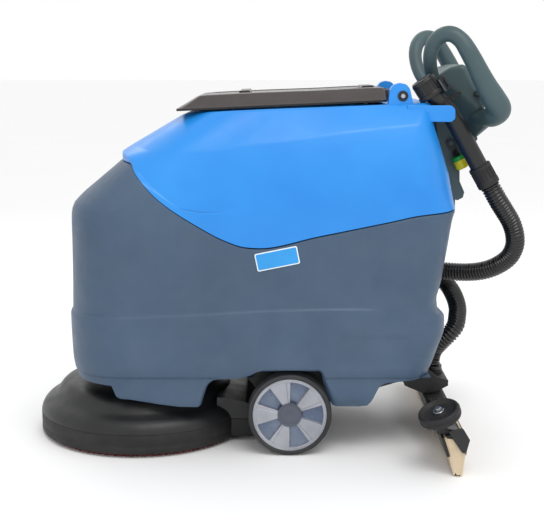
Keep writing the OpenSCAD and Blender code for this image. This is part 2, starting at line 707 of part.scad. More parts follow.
// Rigid tube that hangs in the hook, from the cuff up to the cap
module drain_tube() color([0.07, 0.07, 0.08]) {
    for (i = [0 : 2]) rod(tube_bends[i], tube_bends[i + 1], tube_d / 2);
    for (i = [1, 2]) translate(tube_bends[i]) sphere(r = tube_d / 2);
    cap_tether();
}

module hose_cuff() color([0.09, 0.09, 0.1]) difference() {
    rod(cuff_ends[0], cuff_ends[1], 27);
    rod(cuff_ends[0] - (cuff_ends[1] - cuff_ends[0]) * 0.02, cuff_ends[0] + (cuff_ends[1] - cuff_ends[0]) * 0.4,
        tube_d / 2 + 0.05);
}

// Cap over the end of the tube, with the clip at its side; it is pulled off along its own axis
module drain_cap() color([0.06, 0.06, 0.07]) translate(cap_at) rotate([0, cap_lean, 0]) {
    difference() {
        union() {
            translate([0, 0, -11]) cylinder(h = 48, r = 29.5);
            translate([0, 0, -9]) cylinder(h = 10, r = 31.5);
        }
        translate([0, 0, -20]) cylinder(h = 32, r = 25);
    }
    difference() {
        translate([26.5, -18, -17]) cube([19, 20, 34]);
        translate([36, -20, -9]) cube([5, 24, 18]);
    }
}

// Ring round the tube with a loop for the cap's cord
module cap_tether() {
    translate([417, tube_y, 825.7]) rotate([0, -45.6, 0]) cylinder(h = 9, r = 24.5);
    difference() {
        side([[424, 838], [432, 848], [450, 856], [456, 850], [450, 840], [434, 836]], tube_y - 5, tube_y + 5);
        side([[436, 842], [446, 850], [450, 848], [446, 843]], tube_y - 9, tube_y + 9);
    }
}

module drain_hose() color([0.08, 0.08, 0.09]) swept([for (p = drain_route) [p[0], p[1], p[2], hose_d / 2]], 12);

module suction_hose() color([0.08, 0.08, 0.09]) swept([for (p = suction_route) [p[0], p[1], p[2], hose_d / 2]], 12);

solution_tank();
recovery_tank();
battery_pack();
chassis_frame();
main_axle();
filler_cap();
name_plate();
vacuum_motor();
suction_filter();
solenoid_valve();
charge_socket();
console_stem();
console_pod();
handle_loops();
control_panel();
battery_gauge();
lid_hinge_pins();
tank_fittings();
recovery_lid();
lid_gasket();
mirror([0, 1, 0]) tyre();  // left_tyre
mirror([0, 1, 0]) rim();  // left_rim
mirror([0, 1, 0]) bearings();  // left_bearings
mirror([0, 1, 0]) hub_cap();  // left_hub_cap
tyre();  // right_tyre
rim();  // right_rim
bearings();  // right_bearings
hub_cap();  // right_hub_cap
lower_deck_arms();
upper_deck_arms();
deck_cover();
deck_skirt();
brush_motor();
deck_brackets();
brush_disc();
brush_bristles();
squeegee_arm();
squeegee_yoke();
squeegee_body();
front_blade();
rear_blade();
blade_straps();
suction_port();
squeegee_knobs();
mirror([0, 1, 0]) bumper_roller();  // left_bumper_roller
bumper_roller();  // right_bumper_roller
squeegee_lever();
squeegee_grip();
deck_lever();
deck_grip();
key_switch();
brush_button();
vacuum_button();
water_knob();
drive_bar();
drain_cap();
drain_tube();
hose_cuff();
drain_hose();
suction_hose();
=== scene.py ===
"""Looks of a walk-behind floor scrubber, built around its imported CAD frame.

Sizes are millimetres in the row frame.
"""

import json
import math
import random

import bmesh
import bpy
from mathutils import Matrix, Vector


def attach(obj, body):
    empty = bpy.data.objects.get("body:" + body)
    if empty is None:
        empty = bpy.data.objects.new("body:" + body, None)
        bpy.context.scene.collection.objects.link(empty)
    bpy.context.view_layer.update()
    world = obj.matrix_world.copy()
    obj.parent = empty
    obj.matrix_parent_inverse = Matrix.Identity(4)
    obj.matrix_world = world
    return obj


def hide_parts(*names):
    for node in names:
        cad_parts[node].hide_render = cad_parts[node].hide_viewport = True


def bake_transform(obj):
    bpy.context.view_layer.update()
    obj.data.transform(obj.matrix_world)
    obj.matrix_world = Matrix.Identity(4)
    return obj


MM = 0.001
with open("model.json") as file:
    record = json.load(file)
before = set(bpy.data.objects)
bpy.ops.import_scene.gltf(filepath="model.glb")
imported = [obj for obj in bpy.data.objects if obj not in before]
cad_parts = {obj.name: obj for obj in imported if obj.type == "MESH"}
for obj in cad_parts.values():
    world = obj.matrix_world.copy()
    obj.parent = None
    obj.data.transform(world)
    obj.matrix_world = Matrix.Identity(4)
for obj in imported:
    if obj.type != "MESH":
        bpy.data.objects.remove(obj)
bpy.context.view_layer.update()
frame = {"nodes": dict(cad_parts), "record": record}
NODES = frame["nodes"]
rng = random.Random(7)
SIDES = ((-1, "left"), (1, "right"))


def linked(name, data):
    """A new object in the scene's collection."""
    thing = bpy.data.objects.new(name, data)
    bpy.context.scene.collection.objects.link(thing)
    return thing


# ---------- camera ----------

camera_data = bpy.data.cameras.new("camera")
camera_data.sensor_width = 36
camera_data.lens = 72.8
camera = linked("camera", camera_data)
camera.location = (0.018, -2.745, 0.921)
camera.rotation_euler = (math.radians(80), 0, 0)
bpy.context.scene.camera = camera


# ---------- numbers ----------


def linear(r, g, b):
    """An sRGB colour from 0 to 255 as linear light."""
    return [((c / 255 + 0.055) / 1.055) ** 2.4 if c > 10 else c / 255 / 12.92 for c in (r, g, b)]


def lerp(a, b, t):
    return a + (b - a) * t


def smoothstep(a, b, x):
    t = min(max((x - a) / (b - a), 0), 1)
    return t * t * (3 - 2 * t)


def pchip(table, x):
    """Monotone curve through rows of (x, value, value, ...); returns the values at x."""
    if x <= table[0][0]:
        return list(table[0][1:])
    if x >= table[-1][0]:
        return list(table[-1][1:])
    i = next(k for k in range(len(table) - 1) if table[k][0] <= x <= table[k + 1][0])
    h = table[i + 1][0] - table[i][0]
    t = (x - table[i][0]) / h
    out = []
    for c in range(1, len(table[0])):

        def slope(k):
            return (table[k + 1][c] - table[k][c]) / (table[k + 1][0] - table[k][0])

        def tangent(k):
            if k == 0:
                return slope(0)
            if k == len(table) - 1:
                return slope(k - 1)
            a, b = slope(k - 1), slope(k)
            return 0 if a * b <= 0 else 2 * a * b / (a + b)

        y0, y1, m0, m1 = table[i][c], table[i + 1][c], tangent(i) * h, tangent(i + 1) * h
        out.append((2 * t**3 - 3 * t**2 + 1) * y0 + (t**3 - 2 * t**2 + t) * m0
                   + (3 * t**2 - 2 * t**3) * y1 + (t**3 - t**2) * m1)
    return out


def catmull(points, steps):
    """Smooth points through a list of equally long number lists."""
    p = [list(q) for q in points]
    out = []
    for i in range(len(p) - 1):
        columns = list(zip(p[max(i - 1, 0)], p[i], p[i + 1], p[min(i + 2, len(p) - 1)]))
        for k in range(steps):
            t = k / steps
            out.append([0.5 * (2 * b + (c - a) * t + (2 * a - 5 * b + 4 * c - d) * t * t
                               + (3 * b - a - 3 * c + d) * t**3) for a, b, c, d in columns])
    return out + [p[-1]]


def resample(points, count):
    """count + 1 points at equal steps along a line."""
    lengths = [0]
    for a, b in zip(points, points[1:]):
        lengths.append(lengths[-1] + math.dist(a[:3], b[:3]))
    out, i = [], 0
    for k in range(count + 1):
        s = lengths[-1] * k / count
        while i < len(points) - 2 and lengths[i + 1] < s:
            i += 1
        t = (s - lengths[i]) / max(lengths[i + 1] - lengths[i], 1e-9)
        out.append([lerp(u, v, min(max(t, 0), 1)) for u, v in zip(points[i], points[i + 1])])
    return out


def length_of(points):
    return sum(math.dist(a, b) for a, b in zip(points, points[1:]))


# ---------- materials ----------


def new_material(name):
    m = bpy.data.materials.new(name)
    m.use_nodes = True
    tree = m.node_tree
    tree.nodes.clear()
    out = tree.nodes.new("ShaderNodeOutputMaterial")
    shader = tree.nodes.new("ShaderNodeBsdfPrincipled")
    tree.links.new(shader.outputs[0], out.inputs["Surface"])
    return m, tree, shader


def noise(tree, scale, detail=4, rough=0.55, stretch=None):
    coords = tree.nodes.new("ShaderNodeTexCoord")
    source = coords.outputs["Object"]
    if stretch:
        mapping = tree.nodes.new("ShaderNodeMapping")
        mapping.inputs["Scale"].default_value = stretch
        tree.links.new(source, mapping.inputs["Vector"])
        source = mapping.outputs[0]
    n = tree.nodes.new("ShaderNodeTexNoise")
    n.inputs["Scale"].default_value = scale
    n.inputs["Detail"].default_value = detail
    n.inputs["Roughness"].default_value = rough
    tree.links.new(source, n.inputs["Vector"])
    return n.outputs["Fac"]


def ramp(tree, source, stops):
    r = tree.nodes.new("ShaderNodeValToRGB")
    while len(r.color_ramp.elements) < len(stops):
        r.color_ramp.elements.new(0.5)
    for e, (at, colour) in zip(r.color_ramp.elements, stops):
        e.position = at
        e.color = (*colour, 1)
    tree.links.new(source, r.inputs["Fac"])
    return r.outputs["Color"]


def spread(tree, source, low, high):
    m = tree.nodes.new("ShaderNodeMapRange")
    for key, value in zip(("From Min", "From Max", "To Min", "To Max"), (0.3, 0.7, low, high)):
        m.inputs[key].default_value = value
    tree.links.new(source, m.inputs["Value"])
    return m.outputs["Result"]


def mix(tree, fac, a, b):
    m = tree.nodes.new("ShaderNodeMix")
    m.data_type = "RGBA"
    for socket, value in ((m.inputs["Factor"], fac), (m.inputs["A"], a), (m.inputs["B"], b)):
        if isinstance(value, bpy.types.NodeSocket):
            tree.links.new(value, socket)
        else:
            socket.default_value = (*value, 1)
    return m.outputs["Result"]


MAT = {}


def surface(name, dark, light, rough, grain, grain_depth, blotch, dust=None, metallic=0, coat=0, stretch=None, scuff=0):
    """A procedural finish: two shades in soft blotches, fine grain, uneven gloss, dust and scuffs."""
    dark, light = linear(*dark), linear(*light)
    m, tree, shader = new_material(name)
    colour = ramp(tree, noise(tree, blotch, 3), [(0.3, dark), (0.7, light)])
    if scuff:
        marks = ramp(tree, noise(tree, 60, 8, 0.7, (1, 1, 7)), [(0.6, (0, 0, 0)), (0.72, (1, 1, 1))])
        amount = tree.nodes.new("ShaderNodeMath")
        amount.operation = "MULTIPLY"
        tree.links.new(marks, amount.inputs[0])
        amount.inputs[1].default_value = scuff
        colour = mix(tree, amount.outputs[0], colour, [min(1, c * 1.5 + 0.04) for c in light])
    if dust:
        fac = spread(tree, noise(tree, 14, 6, 0.65), 0, dust[0])
        colour = mix(tree, fac, colour, linear(*dust[1]))
    tree.links.new(colour, shader.inputs["Base Color"])
    tree.links.new(spread(tree, noise(tree, 30, 5), *rough), shader.inputs["Roughness"])
    shader.inputs["Metallic"].default_value = metallic
    shader.inputs["Coat Weight"].default_value = coat
    relief = tree.nodes.new("ShaderNodeBump")
    relief.inputs["Strength"].default_value = 0.35
    relief.inputs["Distance"].default_value = grain_depth
    tree.links.new(noise(tree, grain, 3, 0.6, stretch), relief.inputs["Height"])
    tree.links.new(relief.outputs[0], shader.inputs["Normal"])
    MAT[name] = m


surface("tank_grey", (52, 74, 98), (64, 87, 112), (0.42, 0.55), 700, 0.0002, 3,
        dust=(0.05, (150, 165, 175)), scuff=0.10)
surface("tank_blue", (22, 126, 212), (38, 143, 226), (0.3, 0.42), 650, 0.00018, 3, scuff=0.05)
surface("lid_smoke", (50, 44, 45), (62, 55, 55), (0.26, 0.4), 800, 0.00012, 4,
        dust=(0.08, (120, 110, 105)), scuff=0.15)
surface("handle_grey", (56, 76, 80), (66, 88, 92), (0.42, 0.52), 1200, 0.00015, 6, scuff=0.08)
surface("black_plastic", (11, 12, 14), (18, 19, 21), (0.34, 0.5), 1000, 0.00015, 8,
        dust=(0.06, (90, 92, 95)), scuff=0.12)
surface("black_rubber", (9, 9, 11), (15, 15, 17), (0.5, 0.7), 1400, 0.0003, 9, dust=(0.09, (85, 82, 80)))
surface("tyre", (18, 20, 23), (29, 31, 35), (0.5, 0.7), 1600, 0.0003, 12, dust=(0.22, (95, 95, 96)))
surface("rim_silver", (150, 152, 160), (176, 178, 186), (0.3, 0.45), 1500, 0.0001, 14, metallic=0.55,
        dust=(0.08, (110, 105, 100)))
# The pockets between the spokes are the same silver as the rim. The darker, bluish colour here is painted shade and a
# painted bluish reflection, with real dust on top.
surface("rim_dish_painted_shade", (84, 98, 122), (116, 128, 148), (0.22, 0.36), 1200, 0.0001, 12, metallic=0.6,
        dust=(0.12, (96, 90, 84)))
surface("hub_grey", (66, 70, 82), (78, 84, 98), (0.35, 0.5), 1200, 0.00012, 10)
surface("frame_black", (15, 16, 18), (25, 27, 29), (0.4, 0.55), 1800, 0.0002, 12,
        dust=(0.1, (95, 92, 88)), scuff=0.2)
surface("steel", (160, 162, 166), (190, 192, 196), (0.22, 0.38), 400, 0.00008, 20, metallic=1, stretch=(1, 12, 1))
surface("motor_grey", (48, 49, 53), (60, 61, 66), (0.4, 0.55), 1200, 0.0002, 10)
surface("battery_case", (30, 30, 34), (38, 38, 42), (0.4, 0.5), 900, 0.0001, 8)
# The bristles are red. This red is darkened to stand for the shade under the deck's skirt, so it holds painted shade.
surface("bristle_red", (96, 14, 9), (140, 24, 14), (0.5, 0.7), 2500, 0.0003, 60, stretch=(6, 6, 1))
surface("blade_cream", (190, 168, 138), (214, 196, 168), (0.45, 0.6), 1200, 0.00015, 9,
        dust=(0.16, (120, 100, 80)))
surface("grip_yellow", (196, 184, 16), (214, 204, 36), (0.3, 0.42), 1000, 0.0001, 10)
surface("button_green", (20, 138, 48), (30, 156, 60), (0.3, 0.4), 1000, 0.0001, 10)
surface("button_blue", (26, 90, 200), (36, 104, 214), (0.3, 0.4), 1000, 0.0001, 10)
surface("gauge_glass", (8, 30, 38), (12, 40, 50), (0.06, 0.1), 300, 0.00002, 20, coat=0.6)
surface("valve_green", (40, 76, 52), (50, 90, 62), (0.4, 0.5), 1000, 0.0001, 10)
surface("badge_blue", (20, 140, 215), (28, 152, 226), (0.2, 0.3), 900, 0.00004, 12, coat=0.3)
surface("badge_white", (222, 232, 236), (236, 244, 247), (0.25, 0.35), 900, 0.00004, 12)
surface("hose_black", (8, 8, 10), (16, 16, 19), (0.12, 0.22), 1500, 0.00005, 20,
        dust=(0.05, (140, 138, 134)))

# ---------- mesh making ----------


def make(name, part, body, material, replaces=(), **options):
    """A piece from millimetre points and faces; the options are those of finish_piece."""
    mesh = bpy.data.meshes.new(name)
    mesh.from_pydata([[c * MM for c in v] for v in part[0]], [], part[1])
    mesh.validate()
    work = bmesh.new()
    work.from_mesh(mesh)
    bmesh.ops.remove_doubles(work, verts=work.verts, dist=1e-6)
    bmesh.ops.recalc_face_normals(work, faces=work.faces)
    work.to_mesh(mesh)
    work.free()
    return finish_piece(name, mesh, body, material, replaces, **options)


def finish_piece(name, mesh, body, material, replaces=(), slot=None, sharp=35, bevel=0, segments=2):
    """A mesh as a piece: smooth shading with sharp edges above an angle, and an optional bevel."""
    mesh.polygons.foreach_set("use_smooth", [True] * len(mesh.polygons))
    mesh.set_sharp_from_angle(angle=math.radians(sharp))
    mesh.materials.clear()
    mesh.materials.append(MAT[material])
    piece = linked(name, mesh)
    if bevel:
        add_bevel(piece, bevel, segments)
    if body:
        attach(piece, body)
    if replaces:
        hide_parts(*replaces)
    return piece


def modifier(piece, kind, **values):
    m = piece.modifiers.new(kind.lower(), kind)
    for key, value in values.items():
        setattr(m, key, value)


def add_bevel(piece, width, segments=2, angle=30):
    modifier(piece, "BEVEL", width=width * MM, segments=segments, limit_method="ANGLE", angle_limit=math.radians(angle))
    modifier(piece, "WEIGHTED_NORMAL", keep_sharp=True, weight=60)


def loft(rings, closed=True, cap_start=False, cap_end=False, wrap=False):
    """Vertices and faces of a skin over rings of equally many points; wrap joins the last ring to the first."""
    n, count = len(rings[0]), len(rings)
    faces = []
    for i in range(count if wrap else count - 1):
        j = (i + 1) % count
        for k in range(n if closed else n - 1):
            m = (k + 1) % n
            faces.append([i * n + k, i * n + m, j * n + m, j * n + k])
    if cap_start:
        faces.append(list(range(n)))
    if cap_end:
        faces.append([(count - 1) * n + k for k in range(n)])
    return [p for ring in rings for p in ring], faces


def capped(rings):
    return loft(rings, cap_start=True, cap_end=True)


def revolve(profile, steps, centre=(0, 0, 0), axis=(0, 0, 1)):
    """A closed (radius, height) outline turned about an axis."""
    z = Vector(axis).normalized()
    x = z.orthogonal().normalized()
    y = z.cross(x)
    rings = []
    for k in range(steps):
        a = math.tau * k / steps
        out = x * math.cos(a) + y * math.sin(a)
        rings.append([list(Vector(centre) + out * r + z * h) for r, h in profile])
    return loft(rings, wrap=True)


def frames_along(points):
    """Each point of a line with its two side directions, turned as little as possible."""
    p = [Vector(q[:3]) for q in points]
    out, side = [], None
    for i in range(len(p)):
        t = (p[min(i + 1, len(p) - 1)] - p[max(i - 1, 0)]).normalized()
        side = t.orthogonal().normalized() if side is None else (side - t * side.dot(t)).normalized()
        out.append((p[i], side, t.cross(side)))
    return out


def tube(points, radius, sides):
    """A capped tube; radius is a number or a function of (index, angle)."""
    rings = []
    for i, (p, a, b) in enumerate(frames_along(points)):
        ring = []
        for k in range(sides):
            w = math.tau * k / sides
            r = radius(i, w) if callable(radius) else radius
            ring.append(list(p + (a * math.cos(w) + b * math.sin(w)) * r))
        rings.append(ring)
    return capped(rings)


def slab(outline, y0, y1):
    """A side outline (x, z) extruded between two y values."""
    n = len(outline)
    verts = [[x, y0, z] for x, z in outline] + [[x, y1, z] for x, z in outline]
    faces = [list(range(n)), [n + k for k in reversed(range(n))]]
    faces += [[k, (k + 1) % n, n + (k + 1) % n, n + k] for k in range(n)]
    return verts, faces


def rounded(outline, radius, steps=5):
    """A closed (x, z) outline with its corners rounded; a corner is (x, z) or (x, z, own radius)."""
    out, n = [], len(outline)
    for i in range(n):
        p, a, b = (Vector(outline[(i + d) % n][:2]) for d in (0, -1, 1))
        r = outline[i][2] if len(outline[i]) > 2 else radius
        u, v = (a - p), (b - p)
        cut = min(r / max(math.tan(u.angle(v) / 2), 0.05), u.length * 0.45, v.length * 0.45)
        start, end = p + u.normalized() * cut, p + v.normalized() * cut
        for k in range(steps + 1):
            t = k / steps
            q = start * (1 - t) ** 2 + p * 2 * t * (1 - t) + end * t**2
            out.append((q.x, q.y))
    return out


def joined(*parts):
    """Several (vertices, faces) as one."""
    verts, faces = [], []
    for v, f in parts:
        faces += [[k + len(verts) for k in face] for face in f]
        verts += v
    return verts, faces


def mirrored(part):
    return [[x, -y, z] for x, y, z in part[0]], [list(reversed(f)) for f in part[1]]


def moved(part, matrix):
    return [list(matrix @ Vector(v)) for v in part[0]], part[1]


def both(part):
    return joined(part, mirrored(part))


def frame_matrix(origin, z_axis, x_hint=(1, 0, 0)):
    z = Vector(z_axis).normalized()
    x = (Vector(x_hint) - z * Vector(x_hint).dot(z)).normalized()
    y = z.cross(x)
    m = Matrix((x, y, z)).transposed().to_4x4()
    m.translation = Vector(origin)
    return m


def pad(half_x, half_y, radius, low, high, edge, shrink):
    """A plate with round corners whose top edge is taken off; its underside is open."""
    ring = []
    for sx, sy, start in ((1, 1, 0), (-1, 1, 90), (-1, -1, 180), (1, -1, 270)):
        for a in (math.radians(start + d) for d in range(0, 91, 15)):
            ring.append((sx * (half_x - radius) + radius * math.cos(a), sy * (half_y - radius) + radius * math.sin(a)))
    rows = ((low, 1, 1), (high - edge, 1, 1), (high, *shrink))
    return loft([[[x * fx, y * fy, z] for x, y in ring] for z, fx, fy in rows], cap_end=True)


def hex_head(radius, turn, low, high, top):
    """A bolt's six-sided head, a little narrower at its top."""
    ring = [(radius * math.cos(a), radius * math.sin(a)) for a in (math.radians(60 * k + turn) for k in range(6))]
    return capped([[[x * f, y * f, z] for x, y in ring] for z, f in ((low, 1), (high, 1), (top, 0.86))])


def ridges(count, section, low, high, matrix, taper=1):
    """Ridges round an axis; the section is in (radius, sideways)."""
    out = []
    for k in range(count):
        c, s = math.cos(math.tau * k / count), math.sin(math.tau * k / count)
        ring = [(r * c - t * s, r * s + t * c) for r, t in section]
        out.append(capped([[[x, y, low] for x, y in ring], [[x * taper, y * taper, high] for x, y in ring]]))
    return moved(joined(*out), matrix)


# ---------- the two free hoses ----------

HOSE_D = 46
DRAIN_ROUTE = [
    [531.8, -158, 637.5], [542, -158, 620.2], [555, -154, 599], [571, -146, 576], [590, -137, 547],
    [602, -128, 516], [606, -114, 486], [598, -98, 457], [578, -80, 434], [550, -62, 417],
    [518, -44, 408], [486, -28, 405], [454, -14, 405], [422, -5, 407], [392, 0, 408], [370.4, 0, 408],
]
SUCTION_ROUTE = [
    [428, 0, 158.6], [428, 0, 178], [434, -6, 200], [450, -16, 222], [472, -20, 246], [486, -12, 264],
    [492, 4, 282], [496, 24, 300], [494, 46, 318], [486, 70, 338], [472, 84, 356], [450, 90, 372],
    [420, 92, 384], [404, 93, 388], [392, 93, 390], [370.4, 93, 390],
]


def corrugated(name, route, body, node, pitch=7.6):
    """A hose with rounded ribs along a route."""
    line = catmull(route, 8)
    total = length_of(line)
    ribs = round(total / pitch)
    fine = resample(line, ribs * 6)
    shape = [0.0, 0.75, 1.0, 1.0, 0.75, 0.0]
    inner, outer = HOSE_D / 2 - 3.6, HOSE_D / 2

    def radius(i, w):
        return lerp(inner, outer, shape[i % 6]) if 0 < i < len(fine) - 1 else inner

    piece = make(name, tube(fine, radius, 26), body, "hose_black", [node], slot="black_plastic", sharp=70)
    return piece


corrugated("drain_hose_ribbed", DRAIN_ROUTE, "chassis", "drain_hose")
suction_hose = corrugated("suction_hose_ribbed", SUCTION_ROUTE, None, "suction_hose")
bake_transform(suction_hose)


# ---------- tanks ----------

# Lower tank: height, front x, rear x, half width
LOWER = [
    (100, -468, 390, 241), (186, -473, 393, 245), (215, -477, 403, 250), (262, -479, 419, 252),
    (302, -480, 431, 252), (326, -480, 431, 252), (346, -479, 414, 252), (374, -478, 411, 252),
    (398, -477, 417, 252), (494, -475, 433, 252), (560, -474, 443, 252), (584, -470, 449, 251),
    (606, -452, 451, 249), (640, -412, 456, 245), (690, -352, 462, 237), (702, -338, 462, 235),
]
SEAM = [(-330, 692), (-312, 690), (-296, 668), (-242, 610), (-154, 551), (-90, 517), (-43, 502), (-10, 500),
        (124, 527), (290, 561), (356, 575), (450, 586)]
BAND = [(-480, 326), (-430, 334), (-373, 337), (-312, 338), (-242, 341), (-149, 345), (37, 355), (199, 358), (300, 356)]
# Lower edge of the side wall, with the arch before the wheel, the wheel arch and the lobe behind it
HEM = [
    (-480, 170), (-400, 170), (-366, 168), (-362, 164), (-357, 142), (-350, 137), (-325, 136), (-254, 124), (-207, 118),
    (-163, 117), (-157, 122), (-150, 146), (-140, 172), (-126, 184), (-110, 188), (-60, 190), (-36, 197), (-20, 206),
    (0, 211), (132, 211), (140, 200), (158, 146), (168, 122), (180, 116), (238, 116), (250, 120), (262, 138),
    (276, 168), (292, 177), (340, 182), (400, 189), (500, 191),
]
RECESS_X, RECESS_Y = 348, 130
FRONT_LONG, REAR_LONG = 165, 62
SIDE_COUNT = 112
MIDDLE_Z = 300


def seam_z(x):
    return pchip(SEAM, x)[0]


def straight(table, x):
    if x <= table[0][0]:
        return table[0][1]
    for (x0, z0), (x1, z1) in zip(table, table[1:]):
        if x <= x1:
            return lerp(z0, z1, (x - x0) / (x1 - x0))
    return table[-1][1]


def corner(cx, cy, lx, ly, power, count, rear):
    """Quarter superellipse from the end face to the side (front), or from the side to the end face (rear)."""
    fine = []
    for k in range(81):
        a = math.pi / 2 * k / 80
        c, s = math.cos(a) ** (2 / power), math.sin(a) ** (2 / power)
        fine.append([cx + lx * s, cy + ly * c] if rear else [cx - lx * c, cy + ly * s])
    return resample(fine, count)


def half_plan(xf, xr, w, inset=0, notch=False, rear_power=2.4, rear_long=REAR_LONG, front_power=2.9):
    """Half of a horizontal section, from the middle of the front along the +Y side to the middle of the rear."""
    xf, xr, w = xf + inset, xr - inset, w - inset
    front = corner(xf + FRONT_LONG, 0, FRONT_LONG, w, front_power, 40, False)
    rear_flat = RECESS_Y + 22
    rear = corner(xr - rear_long, rear_flat, rear_long, w - rear_flat, rear_power, 16, True)
    side = [[lerp(front[-1][0], rear[0][0], k / SIDE_COUNT), w] for k in range(1, SIDE_COUNT)]
    out = front + side + rear
    if notch:
        ry = RECESS_Y + inset
        rx = RECESS_X - inset
        out += [[xr, ry + 8], [xr - 1, ry + 3], [xr - 5, ry]]
        out += [[lerp(xr - 5, rx + 8, k / 6), ry] for k in range(1, 7)]
        out += [[rx + 2.5, ry - 2], [rx, ry - 8]] + [[rx, lerp(ry - 8, 0, k / 5)] for k in range(1, 6)]
    else:
        out += [[xr, lerp(rear_flat, 0, k / 8)] for k in range(1, 9)]
    return out


def whole(half):
    """A closed loop from its half: the first and last points lie on the middle plane."""
    return half + [[x, -y, z] for x, y, z in reversed(half[1:-1])]


def closed_across(base, n):
    """Faces that close a ring made by whole, in strips from side to side."""
    strips = [dict.fromkeys(base + i for i in (k, k + 1, n - k - 1, (n - k) % n)) for k in range(n // 2)]
    return [list(face) for face in strips if len(face) > 2]


def level_of(j, line, lo, hi, notch):
    """The height at which column j of the lower tank's wall meets a line drawn on its side view."""
    for _ in range(22):
        z = (lo + hi) / 2
        x = half_plan(*pchip(LOWER, z), notch=notch)[j][0]
        lo, hi = (z, hi) if z < line(x) else (lo, z)
    return (lo + hi) / 2


PLANS = {}


def lower_point(j, z, inset):
    key = (round(z, 1), round(inset, 1))
    if key not in PLANS:
        PLANS[key] = half_plan(*pchip(LOWER, key[0]), inset=key[1], notch=True)
    x, y = PLANS[key][j]
    return [x, y, z]


def label_recess(x, z):
    """Depth of the shallow panel pressed into the side behind the wheel."""
    across = smoothstep(170, 178, x) * (1 - smoothstep(334, 342, x))
    return 2.6 * across * smoothstep(214, 222, z) * (1 - smoothstep(288, 296, z))


def wall_column(j, x_mid, y_mid):
    """Heights and insets of one column of the wall: inner lip, hem, ledge, band, top lip and the seam's inside."""
    hem = level_of(j, lambda x: straight(HEM, x), 112, 214, True)
    if x_mid > MIDDLE_Z and y_mid < RECESS_Y + 60:
        hem = 191
    ledge = max(190, hem + 2.2)
    top = level_of(j, seam_z, 470, 700, True)
    band = level_of(j, lambda x: pchip(BAND, x)[0], 300, 380, True)
    fade = 1 - smoothstep(248, 300, x_mid)
    skirt = 4.5 if ledge <= 190.01 else 1.5
    foot = 12 * smoothstep(150, 172, x_mid) * (1 - smoothstep(268, 290, x_mid))
    col = [(hem + 46, 16), (hem + 6, 14), (hem + 0.6, 13 + foot * 0.3), (hem, skirt + 5 + foot * 0.7),
           (hem + 1, skirt + 1.2 + foot), (hem + 3.5 * min(1, (ledge - hem) / 30), skirt + foot * 0.8)]
    for k in range(1, 6):
        if ledge - hem > 12:
            col.append((lerp(hem + 3.5, ledge - 3, k / 5), skirt + (foot * 0.16 if k == 1 else 0)))
        else:
            col.append((lerp(hem, ledge, 0.3 + k / 8), skirt * 0.8))
    col += [(ledge - 0.5, skirt), (ledge + 0.8, skirt * 0.35), (ledge + 3, 0)]
    col += [(lerp(ledge + 3, band - 4, k / 20), 0) for k in range(1, 21)]
    col += [(band - 1.5, 0.6 * fade), (band + 0.8, 2.6 * fade), (band + 3.5, 4.6 * fade)]
    col += [(lerp(band + 3.5, top - 5, k / 30), lerp(4.6, 1.6, k / 30) * fade) for k in range(1, 31)]
    last = 1.6 * fade
    return col + [(top - 2, last + 0.2), (top - 0.5, last + 1.0), (top, last + 2.6), (top, 9), (top - 26, 10)]


def lower_tank():
    columns = []
    for j, (x_mid, y_mid) in enumerate(half_plan(*pchip(LOWER, MIDDLE_Z), notch=True)):
        points = [lower_point(j, z, inset) for z, inset in wall_column(j, x_mid, y_mid)]
        for p in points:
            if p[1] > 200:
                p[1] -= label_recess(p[0], p[2])
        columns.append(points)
    return loft([whole(list(row)) for row in zip(*columns)])


make("lower_tank_shell", lower_tank(), "chassis", "tank_grey", ["solution_tank"], sharp=42)


def under_height(x, y):
    if math.hypot(x + 308, y) < 88:
        return 352
    if -450 < x < -5 and abs(y) < 218:
        return 250
    if -22 < x < 138 and abs(y) > 191:
        return 210
    return 191


def under_keep(x, y):
    xf, xr, w = pchip(LOWER, 230)
    front = abs(max(0, xf + FRONT_LONG - x) / FRONT_LONG) ** 2.9 + (abs(y) / w) ** 2.9 < 0.82
    in_recess = x > RECESS_X and abs(y) < RECESS_Y
    return front and abs(y) < w - 13 and x < xr - 12 and not in_recess


def underside():
    """The tank's underside as a grid of height steps, kept only inside the wall."""
    nx, ny, x0, x1, y0, y1 = 116, 64, -474, 408, -244, 244
    xs, ys = [lerp(x0, x1, i / nx) for i in range(nx + 1)], [lerp(y0, y1, k / ny) for k in range(ny + 1)]
    faces = []
    for i in range(nx):
        for k in range(ny):
            if under_keep(lerp(x0, x1, (i + 0.5) / nx), lerp(y0, y1, (k + 0.5) / ny)):
                a = i * (ny + 1) + k
                faces.append([a, a + ny + 1, a + ny + 2, a + 1])
    return [[x, y, under_height(x, y)] for x in xs for y in ys], faces


make("lower_tank_underside", underside(), "chassis", "tank_grey", sharp=30)

# The heights by x of the upper tank's creases and of its flat top
CREASE_LOW = [(-345, 713), (-322, 708), (-300, 690), (-270, 656), (-242, 630), (-200, 598), (-154, 577), (-76, 590),
              (13, 608), (96, 627), (206, 647), (330, 659), (432, 668)]
CREASE_HIGH = [(-322, 729), (-260, 722), (-143, 722), (-43, 737), (68, 749), (179, 765), (290, 778), (400, 788)]
BRIM = [(-202, 797), (-186, 803), (-168, 807), (280, 827), (390, 832)]
MOUTH_X, MOUTH_Y, MOUTH_R = (-150, 250), 125, 22


def upper_ring(xf, xr, w, table, rear_long, rear_power, front_power):
    half = half_plan(xf, xr, w, rear_long=rear_long, rear_power=rear_power, front_power=front_power)
    return [[x, y, pchip(table, x)[0]] for x, y in half]


def seam_ring(raise_by, inset):
    ring = []
    for j in range(len(half_plan(*pchip(LOWER, MIDDLE_Z)))):
        z = level_of(j, lambda x: seam_z(x) + raise_by, 470, 712, False)
        x, y = half_plan(*pchip(LOWER, z), inset=inset)[j]
        ring.append([x, y, z])
    return ring


